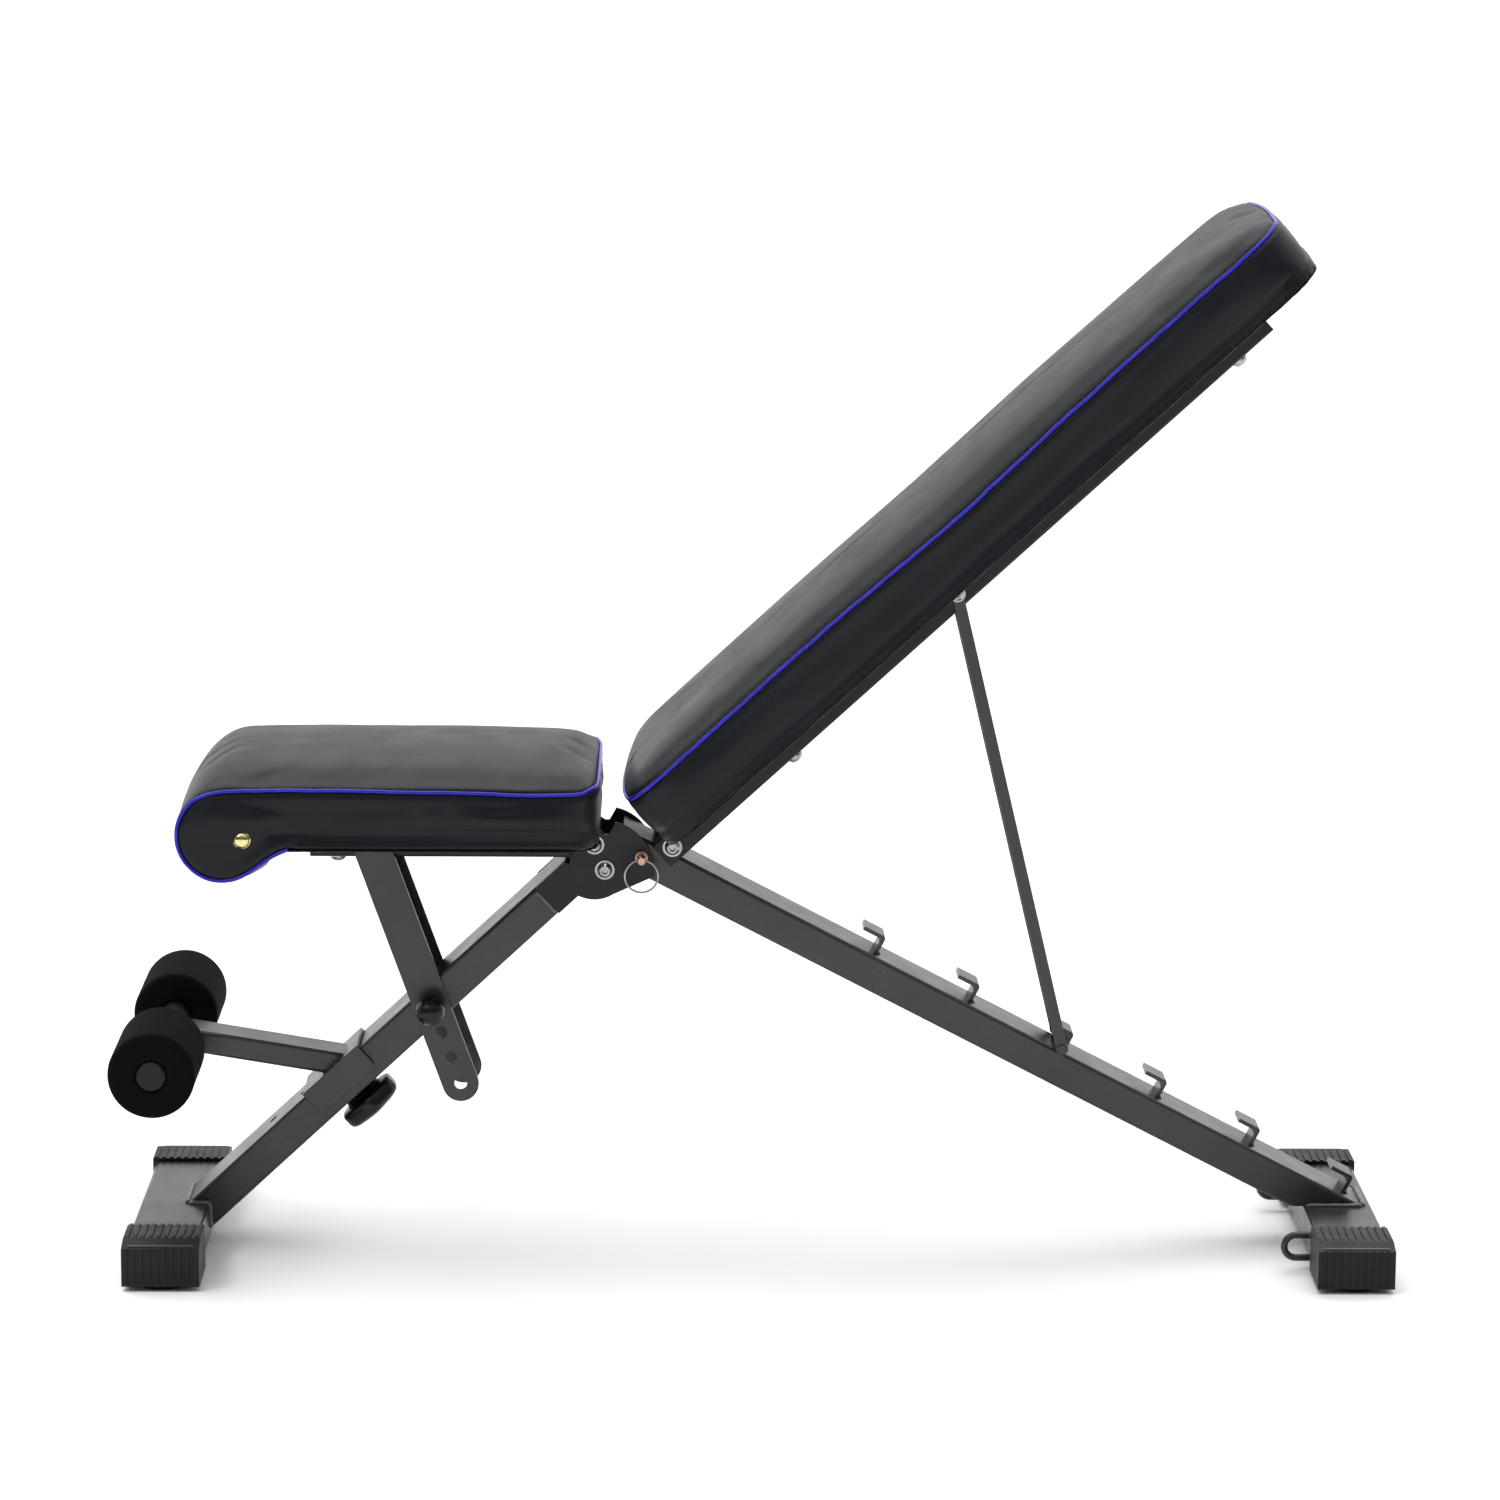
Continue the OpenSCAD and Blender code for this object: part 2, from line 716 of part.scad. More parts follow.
// Lobed hand knob under the leg with its neck
module hold_knob() {
    knob_r = 25;
    lobe_r = 7;
    lobes = 6;
    bottom = -38.5;
    height = 16;
    color(black) on_front() translate([hold_s, 0, 0]) difference() {
        union() {
            translate([0, 0, bottom]) cylinder(r = knob_r, h = height);
            for (i = [0 : lobes - 1]) rotate([0, 0, i * 360 / lobes])
                translate([knob_r - lobe_r + 2.5, 0, bottom + 1]) cylinder(r = lobe_r, h = height - 2);
            translate([0, 0, bottom + height]) cylinder(r1 = 19, r2 = 16, h = 6.5);
        }
        translate([0, 0, bottom + 5]) cylinder(r = 4, h = 40);
    }
}

// The screw is interrupted where it crosses the leg's two walls
module hold_screw() {
    r = 4;
    clear = leg_h / 2 - wall - hinge_gap;
    color(zinc) on_front() translate([hold_s, 0, 0]) {
        translate([0, 0, -33.5]) cylinder(r = r, h = 33.5 - leg_h / 2 - hinge_gap);
        translate([0, 0, -clear]) cylinder(r = r, h = 2 * clear);
        translate([0, 0, leg_h / 2 + hinge_gap]) cylinder(r = r, h = plate_t);
    }
}

// -------------------------------------------------------------- backrest

back_washer_y = back_tube_w / 2 + hinge_gap;

module back_bolt() {
    color(zinc) {
        cross_bolt(back_pivot, bolt_r, back_washer_y, back_washer_y + 6);
        cross_nut(back_pivot, bolt_r, back_washer_y);
    }
}

// Rail whose lower end is cut away to two ears that straddle the rear leg
module back_tube() {
    color(paint) difference() {
        on_back() translate([-ear_back, 0, 0]) difference() {
            tube_x(back_tube_end + ear_back, back_tube_w, rail_h, 2.5);
            translate([-1, -plate_y, -rail_h]) cube([ear_len + ear_back + 1, 2 * plate_y, 2 * rail_h]);
        }
        bore(back_pivot, bolt_r + run_fit);
        bore(bar_pivot, small_bolt_r + run_fit);
        for (u = back_screw_u) on_back() translate([u, 0, -rail_h]) cylinder(r = 3, h = 2 * rail_h);
    }
}

module back_plug() {
    color(black) on_back() translate([back_tube_end, 0, 0]) mirror([1, 0, 0]) {
        translate([-1.5, 0, 0]) rotate([90, 0, 90]) linear_extrude(1.5)
            rounded_rect(back_tube_w, rail_h, 3);
        rotate([90, 0, 90]) linear_extrude(12) difference() {
            rounded_rect(back_tube_w - 5, rail_h - 5, 1.6);
            rounded_rect(back_tube_w - 9, rail_h - 9, 0.6);
        }
    }
}

back_screw_u = [128, 639];

module back_board_shape() {
    low = back_pad_start + 2.5 * skirt;
    high = back_pad_len - skirt;
    translate([(low + high) / 2, 0, rail_h / 2]) linear_extrude(board_t)
        rounded_rect(high - low, pad_w - 2 * skirt, 32);
}

module back_board() {
    color(ply) difference() {
        on_back() back_board_shape();
        for (u = back_screw_u) on_back() translate([u, 0, rail_h / 2 - 1]) cylinder(r = 3, h = board_t);
    }
}

// Layer of the backrest cushion between two heights, with rounded plan corners
module back_layer(start, end, half_w, v0, v1, corner) {
    translate([(start + end) / 2, 0, v0])
        linear_extrude(v1 - v0) rounded_rect(end - start, 2 * half_w, corner);
}

module back_pad() {
    half_w = pad_w / 2;
    side_v = rail_h / 2 + board_t + side_h;
    start = back_pad_start;
    color(vinyl) on_back() difference() {
        hull($fn = blend_fn) {
            back_layer(start, back_pad_len, half_w, rail_h / 2, side_v - 12, 18);
            back_layer(start + 6, back_pad_len, half_w, side_v - 2, side_v, 18);
            back_layer(start + 84, back_pad_len - 45, half_w - 70, side_v, side_v + crown_h, 30);
        }
        back_board_shape();
    }
}

module back_pad_screws() {
    color(zinc) for (u = back_screw_u) on_back() translate([u, 0, 0]) rail_screw(rail_h);
}

bar_outer = bar_y + bar_t;

module bar_bolt() {
    color(zinc) {
        cross_bolt(bar_pivot, small_bolt_r, bar_outer + hinge_gap, bar_outer + 5);
        cross_nut(bar_pivot, small_bolt_r, bar_outer + hinge_gap);
    }
}

// Two flat bars joined by the cross rod that drops into the hooks
module support_bar() {
    end_r = 6.5;
    color(paint) difference() {
        at_point(bar_pivot) rotate([0, bar_angle, 0]) {
            both_plates(bar_y, bar_t) {
                circle(end_r);
                translate([0, -bar_w / 2]) square([bar_len, bar_w]);
                translate([bar_len, 0]) circle(bar_w / 2 + 0.5);
            }
            translate([bar_len, 0, 0]) rotate([90, 0, 0])
                cylinder(r = rod_d / 2, h = 2 * (bar_outer + 2), center = true);
        }
        bore(bar_pivot, small_bolt_r + run_fit);
    }
}

rear_leg();
rear_foot();
rear_cap_near();
rear_cap_far();
rear_pads();
hinge_tongue();
back_bush();
hook_1();
hook_2();
hook_3();
hook_4();
hook_5();
hook_6();
band_loop_near();
band_loop_far();
front_leg();
front_foot();
front_cap_near();
front_cap_far();
front_pads();
hinge_plate_near();
hinge_plate_far();
fold_bolt();
seat_bolt();
frame_nuts();
lock_pin();
lock_ring();
seat_pin();
seat_pin_ball();
seat_tube();
seat_plug();
seat_board();
seat_pad();
seat_studs();
seat_pad_screws();
post_bolt();
seat_post();
hold_saddle();
hold_arm();
hold_axle();
axle_plugs();
hold_knob();
hold_screw();
roller_near();
roller_far();
back_bolt();
back_tube();
back_plug();
back_board();
back_pad();
back_pad_screws();
bar_bolt();
support_bar();
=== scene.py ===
"""Looks of the adjustable weight bench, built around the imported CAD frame."""
import math
import bpy
import bmesh
import numpy as np
from mathutils import Vector, Matrix, noise
from mathutils.bvhtree import BVHTree
from mathutils.kdtree import KDTree


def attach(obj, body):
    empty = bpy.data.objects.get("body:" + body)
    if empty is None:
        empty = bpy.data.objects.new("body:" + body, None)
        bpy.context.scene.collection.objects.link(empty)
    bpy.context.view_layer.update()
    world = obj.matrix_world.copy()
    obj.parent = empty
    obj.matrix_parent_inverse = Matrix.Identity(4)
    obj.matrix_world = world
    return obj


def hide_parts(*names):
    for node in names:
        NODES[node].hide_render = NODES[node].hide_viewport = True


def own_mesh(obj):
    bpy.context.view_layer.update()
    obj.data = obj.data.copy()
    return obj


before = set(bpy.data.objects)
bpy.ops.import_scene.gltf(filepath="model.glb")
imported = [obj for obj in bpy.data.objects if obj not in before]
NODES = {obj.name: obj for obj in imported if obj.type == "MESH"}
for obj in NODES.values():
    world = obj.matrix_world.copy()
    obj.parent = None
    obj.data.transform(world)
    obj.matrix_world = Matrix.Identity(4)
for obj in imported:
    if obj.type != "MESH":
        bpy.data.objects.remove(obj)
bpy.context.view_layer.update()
SCENE = bpy.context.scene

# The script works in millimetres and hands metres to Blender
MM = 0.001
PER_M = 1000.0

# Design values shared with the CAD source, in millimetres and radians
REAR_X, REAR_H, REAR_A = 513.0, 34.2, math.radians(27.4)
FRONT_X, FRONT_H, FRONT_A = -503.0, 8.6, math.radians(43.0)
BACK_A = math.radians(42.55)
FOOT_TOP = 39.5
HALF = 130.0
SEAT_REAR, SEAT_BOTTOM, SEAT_SIDE = -131.5, 374.0, 425.5
NOSE_X, NOSE_Z = -448.0, 387.5
BACK_BASE = 12.5


def rear_pt(s, n=0.0):
    return np.array([REAR_X - s * math.cos(REAR_A) + n * math.sin(REAR_A),
                     REAR_H + s * math.sin(REAR_A) + n * math.cos(REAR_A)])


def front_pt(s, n=0.0):
    return np.array([FRONT_X + s * math.cos(FRONT_A) - n * math.sin(FRONT_A),
                     FRONT_H + s * math.sin(FRONT_A) + n * math.cos(FRONT_A)])


BACK_C = rear_pt(667.6, 20.3)
AXLE = np.array([-509.0, 186.5])


def back_xyz(u, y, v):
    """Point of the backrest's own frame: u up the rail, y across, v out of the seating face."""
    u, y, v = (np.asarray(a, float) for a in (u, y, v))
    x = BACK_C[0] + u * math.cos(BACK_A) - v * math.sin(BACK_A)
    z = BACK_C[1] + u * math.sin(BACK_A) + v * math.cos(BACK_A)
    return np.stack(np.broadcast_arrays(x, y, z), -1)


# ------------------------------------------------------------------ materials

def map_range(tree, value, lo, hi, a, b):
    """A node that maps value from a..b to lo..hi."""
    n = tree.nodes.new("ShaderNodeMapRange")
    for key, x in (("From Min", a), ("From Max", b), ("To Min", lo), ("To Max", hi)):
        n.inputs[key].default_value = x
    tree.links.new(value, n.inputs["Value"])
    return n


class Mat:
    """A node material built around one Principled shader, with object-space texture coordinates."""

    def __init__(self, name):
        self.m = bpy.data.materials.new(name)
        self.m.use_nodes = True
        self.t = self.m.node_tree
        self.t.nodes.clear()
        self.out = self.add("ShaderNodeOutputMaterial")
        self.b = self.add("ShaderNodeBsdfPrincipled")
        self.link(self.b.outputs[0], self.out.inputs[0])
        self.co = self.add("ShaderNodeTexCoord").outputs["Object"]

    def add(self, kind, **props):
        n = self.t.nodes.new(kind)
        for k, v in props.items():
            setattr(n, k, v)
        return n

    def link(self, a, b):
        self.t.links.new(a, b)

    def set(self, **values):
        for k, v in values.items():
            self.b.inputs[k.replace("_", " ")].default_value = v

    def mapped(self, scale):
        n = self.add("ShaderNodeMapping")
        n.inputs["Scale"].default_value = scale
        self.link(self.co, n.inputs["Vector"])
        return n.outputs[0]

    def noise(self, scale, detail=2.0, rough=0.5, vector=None):
        n = self.add("ShaderNodeTexNoise")
        n.inputs["Scale"].default_value = scale
        n.inputs["Detail"].default_value = detail
        n.inputs["Roughness"].default_value = rough
        self.link(vector or self.co, n.inputs["Vector"])
        return n.outputs["Fac"]

    def voronoi(self, scale, feature="F1", vector=None):
        n = self.add("ShaderNodeTexVoronoi", feature=feature)
        n.inputs["Scale"].default_value = scale
        self.link(vector or self.co, n.inputs["Vector"])
        return n.outputs["Distance"]

    def remap(self, value, lo, hi, a=0.0, b=1.0):
        return map_range(self.t, value, lo, hi, a, b).outputs[0]

    def colours(self, value, stops):
        n = self.add("ShaderNodeValToRGB")
        ramp = n.color_ramp
        while len(ramp.elements) < len(stops):
            ramp.elements.new(0.5)
        for e, (pos, col) in zip(ramp.elements, stops):
            e.position = pos
            e.color = (*col, 1.0)
        self.link(value, n.inputs["Fac"])
        return n.outputs["Color"]

    def base(self, output):
        self.link(output, self.b.inputs["Base Color"])

    def rough(self, output):
        self.link(output, self.b.inputs["Roughness"])

    def bump(self, *layers):
        """Layers of (height output, distance in metres, strength)."""
        last = None
        for height, distance, strength in layers:
            n = self.add("ShaderNodeBump")
            n.inputs["Distance"].default_value = distance
            n.inputs["Strength"].default_value = strength
            self.link(height, n.inputs["Height"])
            if last is not None:
                self.link(last, n.inputs["Normal"])
            last = n.outputs[0]
        self.link(last, self.b.inputs["Normal"])


def paint_material(name, dark, light, rough_lo, rough_hi, shine=0.5):
    m = Mat(name)
    m.set(Metallic=0.15, Specular_IOR_Level=shine)
    cloud = m.noise(9.0, 3.0)
    grain = m.noise(1500.0, 2.0)
    mix = m.add("ShaderNodeMath", operation="MULTIPLY_ADD")
    m.link(grain, mix.inputs[0])
    mix.inputs[1].default_value = 0.5
    m.link(m.remap(cloud, 0.0, 0.5, 0.3, 0.7), mix.inputs[2])
    m.base(m.colours(mix.outputs[0], [(0.2, dark), (0.8, light)]))
    m.rough(m.remap(m.noise(40.0, 4.0), rough_lo, rough_hi, 0.3, 0.7))
    m.bump((m.noise(260.0, 2.0), 0.0004, 0.10), (grain, 0.0002, 0.10))
    return m.m


def plastic_material(name, colour, rough, bump=0.12, scale=1400.0):
    m = Mat(name)
    m.set(Specular_IOR_Level=0.3)
    dark = tuple(c * 0.75 for c in colour)
    m.base(m.colours(m.noise(25.0, 3.0), [(0.35, dark), (0.65, colour)]))
    m.rough(m.remap(m.noise(60.0, 3.0), rough - 0.06, rough + 0.06, 0.3, 0.7))
    m.bump((m.noise(scale, 1.0), 0.0002, bump))
    return m.m


def vinyl_material():
    m = Mat("black_vinyl")
    m.set(Specular_IOR_Level=0.22, Sheen_Weight=0.02, Sheen_Roughness=0.5)
    stops = [(0.3, (0.0023, 0.0028, 0.0052)), (0.7, (0.0040, 0.0047, 0.0080))]
    m.base(m.colours(m.noise(14.0, 4.0), stops))
    cells = m.voronoi(950.0, "SMOOTH_F1")
    wrinkle = m.noise(420.0, 3.0, 0.55)
    m.rough(m.remap(m.noise(30.0, 4.0), 0.38, 0.47, 0.3, 0.7))
    m.bump((m.noise(22.0, 2.0), 0.0012, 0.18), (wrinkle, 0.0004, 0.22), (cells, 0.0003, 0.28))
    return m.m


def piping_material():
    m = Mat("blue_piping")
    m.set(Roughness=0.22, Specular_IOR_Level=0.3)
    m.base(m.colours(m.noise(60.0, 3.0), [(0.3, (0.012, 0.010, 0.31)), (0.7, (0.018, 0.015, 0.42))]))
    m.bump((m.noise(300.0, 2.0), 0.0004, 0.25))
    return m.m


def foam_material():
    m = Mat("black_foam")
    m.set(Roughness=0.92, Specular_IOR_Level=0.06)
    pores = m.voronoi(1300.0)
    m.base(m.colours(pores, [(0.0, (0.0014, 0.0015, 0.0016)), (0.55, (0.0040, 0.0041, 0.0044))]))
    m.bump((m.noise(70.0, 3.0), 0.0012, 0.25), (m.noise(700.0, 3.0), 0.0006, 0.5),
           (pores, 0.0005, 0.5))
    return m.m


def metal_material(name, colour, rough, brushed=0.15):
    m = Mat(name)
    m.set(Metallic=1.0)
    dull = tuple(c * 0.78 for c in colour)
    m.base(m.colours(m.noise(120.0, 4.0), [(0.3, dull), (0.7, colour)]))
    m.rough(m.remap(m.noise(240.0, 4.0), rough - 0.08, rough + 0.08, 0.3, 0.7))
    m.bump((m.noise(1800.0, 2.0), 0.0001, brushed))
    return m.m


def wood_material():
    m = Mat("plywood")
    m.set(Specular_IOR_Level=0.3)
    stretched = m.mapped((6.0, 90.0, 90.0))
    grain = m.noise(1.0, 6.0, 0.65, stretched)
    stops = [(0.3, (0.22, 0.125, 0.055)), (0.55, (0.40, 0.26, 0.13)), (0.75, (0.50, 0.35, 0.19))]
    m.base(m.colours(grain, stops))
    m.rough(m.remap(grain, 0.6, 0.75, 0.3, 0.7))
    m.bump((grain, 0.0005, 0.35))
    return m.m


PAINT = paint_material("charcoal_paint", (0.020, 0.0205, 0.022), (0.034, 0.0345, 0.037), 0.25, 0.34)
# A darker copy of the charcoal paint: painted shade for the tubes, hinge plates and bush that sit in shade under the
# pads and at the hinge
SHADE_DARKENED_PAINT = paint_material("charcoal_paint_painted_shade", (0.0065, 0.0067, 0.0075), (0.012, 0.0122, 0.0138), 0.32, 0.42, 0.3)
# Weld beads: the charcoal paint made lighter, a painted highlight for the glints on the painted-over beads
WELD = paint_material("weld_painted_highlight", (0.06, 0.061, 0.065), (0.12, 0.121, 0.127), 0.10, 0.20)
CAP = plastic_material("moulded_plastic", (0.0052, 0.0054, 0.0062), 0.50)
KNOB = plastic_material("knob_plastic", (0.0045, 0.0046, 0.005), 0.30)
RUBBER = plastic_material("foot_rubber", (0.004, 0.004, 0.0042), 0.78, 0.3, 900.0)
VINYL = vinyl_material()
PIPING = piping_material()
FOAM = foam_material()
ZINC = metal_material("zinc_plate", (0.38, 0.385, 0.40), 0.26)
COPPER = metal_material("copper_tint", (0.62, 0.40, 0.30), 0.35)
BRASS = metal_material("polished_brass", (0.80, 0.70, 0.33), 0.16, 0.05)
STAPLE = metal_material("staple_wire", (0.55, 0.56, 0.58), 0.3)
WOOD = wood_material()

# ------------------------------------------------------------- mesh helpers


def make(name, verts, faces, materials):
    """A smooth-shaded mesh object from points in millimetres."""
    me = bpy.data.meshes.new(name)
    me.from_pydata([tuple(p) for p in np.asarray(verts, float) * MM], [], [tuple(f) for f in faces])
    me.validate()
    me.update()
    for m in materials:
        me.materials.append(m)
    me.polygons.foreach_set("use_smooth", [True] * len(me.polygons))
    o = bpy.data.objects.new(name, me)
    SCENE.collection.objects.link(o)
    return o


def fix_normals(o):
    """Merges doubled points and turns every face outwards."""
    bm = bmesh.new()
    bm.from_mesh(o.data)
    bmesh.ops.remove_doubles(bm, verts=bm.verts, dist=1e-7)
    bmesh.ops.recalc_face_normals(bm, faces=bm.faces)
    bm.to_mesh(o.data)
    bm.free()
    return o


def strip_faces(rings, count):
    """Quads between closed rings of count points."""
    faces = []
    for r in range(rings - 1):
        a, b = r * count, (r + 1) * count
        for i in range(count):
            j = (i + 1) % count
            faces.append((a + i, a + j, b + j, b + i))
    return faces


def loft(name, rings, materials):
    """Closed skin through rings of equal point counts, capped at both ends."""
    rings = [np.asarray(r, float) for r in rings]
    n = len(rings[0])
    faces = strip_faces(len(rings), n)
    faces.append(tuple(reversed(range(n))))
    faces.append(tuple(range((len(rings) - 1) * n, len(rings) * n)))
    return fix_normals(make(name, np.concatenate(rings), faces, materials))


def sweep(name, path, radius, materials, sides=12, closed=False):
    """Tube of the given radius, or radii, along a path."""
    path = np.asarray(path, float)
    n = len(path)
    radii = np.broadcast_to(np.asarray(radius, float), (n,))
    if closed:
        tangent = np.roll(path, -1, 0) - np.roll(path, 1, 0)
    else:
        tangent = np.gradient(path, axis=0)
    tangent /= np.linalg.norm(tangent, axis=1)[:, None] + 1e-12
    normal = np.cross(tangent[0], [0.0, 1.0, 0.03])
    normal /= np.linalg.norm(normal)
    rings = []
    for i in range(n):
        normal = normal - tangent[i] * (normal @ tangent[i])
        normal /= np.linalg.norm(normal)
        side = np.cross(tangent[i], normal)
        a = np.linspace(0, 2 * math.pi, sides, endpoint=False)
        rings.append(path[i] + radii[i] * (np.cos(a)[:, None] * normal + np.sin(a)[:, None] * side))
    verts = np.concatenate(rings)
    faces = strip_faces(n, sides)
    if closed:
        a = (n - 1) * sides
        shift = int(np.argmin(np.linalg.norm(rings[0] - rings[-1][0], axis=1)))
        for i in range(sides):
            j = (i + 1) % sides
            faces.append((a + i, a + j, (j + shift) % sides, (i + shift) % sides))
    else:
        faces.append(tuple(reversed(range(sides))))
        faces.append(tuple(range((n - 1) * sides, n * sides)))
    return fix_normals(make(name, verts, faces, materials))


def lathe(name, profile, centre, axis, materials, segments, shape=None):
    """Turned piece: profile is (distance along axis, radius) points; shape scales the radius by angle."""
    axis = Vector(axis).normalized()
    side = axis.orthogonal().normalized()
    other = axis.cross(side)
    angles = np.linspace(0, 2 * math.pi, segments, endpoint=False)
    rings = []
    for h, r in profile:
        rr = max(r, 0.01) * (shape(h, angles) if shape else np.ones(segments))
        ring = (np.asarray(centre)[None] + h * np.asarray(axis)[None]
                + rr[:, None] * (np.cos(angles)[:, None] * np.asarray(side)[None]
                                 + np.sin(angles)[:, None] * np.asarray(other)[None]))
        rings.append(ring)
    return loft(name, rings, materials)


def rounded(points, radius, steps=5):
    """Rounds the inner corners of an open polyline of 2-D points."""
    out = [np.asarray(points[0], float)]
    for a, b, c in zip(points, points[1:], points[2:]):
        a, b, c = (np.asarray(q, float) for q in (a, b, c))
        u, v = a - b, c - b
        r = min(radius, 0.49 * np.linalg.norm(u), 0.49 * np.linalg.norm(v))
        p, q = b + u / np.linalg.norm(u) * r, b + v / np.linalg.norm(v) * r
        for t in np.linspace(0, 1, steps):
            out.append((1 - t) ** 2 * p + 2 * t * (1 - t) * b + t * t * q)
    out.append(np.asarray(points[-1], float))
    return out


def apply_modifiers(o):
    """Replaces the mesh by its evaluated copy, so that no modifier is left."""
    dg = bpy.context.evaluated_depsgraph_get()
    me = bpy.data.meshes.new_from_object(o.evaluated_get(dg), depsgraph=dg)
    old = o.data
    o.modifiers.clear()
    o.data = me
    bpy.data.meshes.remove(old)
    return o


def coords(o):
    co = np.zeros(len(o.data.vertices) * 3)
    o.data.vertices.foreach_get("co", co)
    return co.reshape(-1, 3) * PER_M


def set_coords(o, co):
    o.data.vertices.foreach_set("co", (np.asarray(co) * MM).ravel())
    o.data.update()


def normals(o):
    n = np.zeros(len(o.data.vertices) * 3)
    o.data.vertices.foreach_get("normal", n)
    return n.reshape(-1, 3)


CLOTH_PRESSURE = 4.0
CLOTH_FRAMES = 20


def smooth_shade(o):
    o.data.polygons.foreach_set("use_smooth", [True] * len(o.data.polygons))
    return o


def distance_to(points, path):
    """Distance from each point to the nearest of the path's points, and that point's index."""
    tree = KDTree(len(path))
    for i, p in enumerate(path):
        tree.insert(Vector(p), i)
    tree.balance()
    found = [tree.find(Vector(p)) for p in points]
    return np.array([f[2] for f in found]), np.array([f[1] for f in found])


def step(x, lo, hi):
    """Smooth step from 0 at lo to 1 at hi."""
    t = np.clip((np.asarray(x, float) - lo) / (hi - lo), 0, 1)
    return t * t * (3 - 2 * t)


def resample(path, spacing, closed=False):
    """Points along a path at even spacing."""
    path = np.asarray(path, float)
    if closed:
        path = np.vstack([path, path[:1]])
    seg = np.linalg.norm(np.diff(path, axis=0), axis=1)
    s = np.concatenate([[0], np.cumsum(seg)])
    count = max(2, int(round(s[-1] / spacing)))
    at = np.linspace(0, s[-1], count + 1)
    if closed:
        at = at[:-1]
    return np.stack([np.interp(at, s, path[:, k]) for k in range(3)], 1)


def soften(path, times, closed=False):
    """Averages each point of a path with its neighbours; the ends of an open path stay."""
    path = np.array(path, float)
    for _ in range(times):
        a, b = np.roll(path, 1, 0), np.roll(path, -1, 0)
        new = 0.25 * a + 0.5 * path + 0.25 * b
        if not closed:
            new[0], new[-1] = path[0], path[-1]
        path = new
    return path


def stuff(o, voxel, cap, hold):
    """Remeshes a closed cover and swells it with a short cloth simulation.

    No point moves further than cap, and hold(points) is 0 where the cover may not move.
    """
    mod = o.modifiers.new("even", "REMESH")
    mod.mode = "VOXEL"
    mod.voxel_size = voxel * MM
    apply_modifiers(o)
    rest = coords(o)
    free = hold(rest)
    mod = o.modifiers.new("cloth", "CLOTH")
    c = mod.settings
    c.quality = 4
    c.mass = 0.3
    c.tension_stiffness = 20
    c.compression_stiffness = 20
    c.shear_stiffness = 8
    c.bending_stiffness = 1.0
    c.use_pressure = True
    c.uniform_pressure_force = CLOTH_PRESSURE
    c.effector_weights.gravity = 0
    mod.collision_settings.use_collision = False
    for f in range(1, CLOTH_FRAMES + 1):
        SCENE.frame_set(f)
    dg = bpy.context.evaluated_depsgraph_get()
    e = o.evaluated_get(dg).to_mesh()
    co = np.zeros(len(e.vertices) * 3)
    e.vertices.foreach_get("co", co)
    moved = co.reshape(-1, 3) * PER_M - rest
    o.modifiers.clear()
    SCENE.frame_set(1)
    length = np.linalg.norm(moved, axis=1)
    limited = cap * np.tanh(length / cap)
    rest = rest + moved * (limited / np.maximum(length, 1e-9) * free)[:, None]
    set_coords(o, rest)
    mod = o.modifiers.new("fine", "SUBSURF")
    mod.levels = mod.render_levels = 1
    apply_modifiers(o)
    return smooth_shade(o)


def pinch(o, path, depth, width, only=None):
    """Presses a seam or crease into a cover along a path."""
    co, n = coords(o), normals(o)
    d, _ = distance_to(co, path)
    amount = depth * np.exp(-(d / width) ** 2)
    if only is not None:
        amount = amount * only(co)
    set_coords(o, co - n * amount[:, None])


def ripple(o, amount, scale, stretch=(1.0, 1.0, 1.0), seed=0.0, only=None):
    """Low, soft unevenness of a stuffed cover."""
    co, n = coords(o), normals(o)
    k = np.array(stretch) * scale
    w = np.array([noise.noise(Vector(p * k + seed)) for p in co])
    if only is not None:
        w = w * only(co)
    set_coords(o, co + n * (amount * w)[:, None])


def on_surface(o, path, lift):
    """Moves a path onto a mesh, lifted along its normal by lift millimetres."""
    bm = bmesh.new()
    bm.from_mesh(o.data)
    tree = BVHTree.FromBMesh(bm)
    out = []
    for p in path:
        hit, normal, _, _ = tree.find_nearest(Vector(p) * MM)
        out.append(np.array(hit) * PER_M + np.array(normal) * lift)
    bm.free()
    return np.array(out)


# --------------------------------------------------------------- seat cushion

PIPING_R, PIPING_STEP = 1.55, 2.5
LOOP_STEP = 3.0
# How far each piping's centre stands off its cover
SEAT_PIPING_LIFT, BACK_PIPING_LIFT = 1.5, 1.2
SWELL_CAP = 4.0
# Plan radius of the seat's rear corners under the board, and their half-axes on the cover
HEM_CORNER = 32.0
CORNER_X, CORNER_Y = 18.0, 46.0


def crown(t):
    """Height share of a cushion's crown at t, from 0 at the piping to 1 in the middle."""
    t = np.clip(t, 0, 1)
    return (1 - (1 - t) ** 2.4) ** 0.62


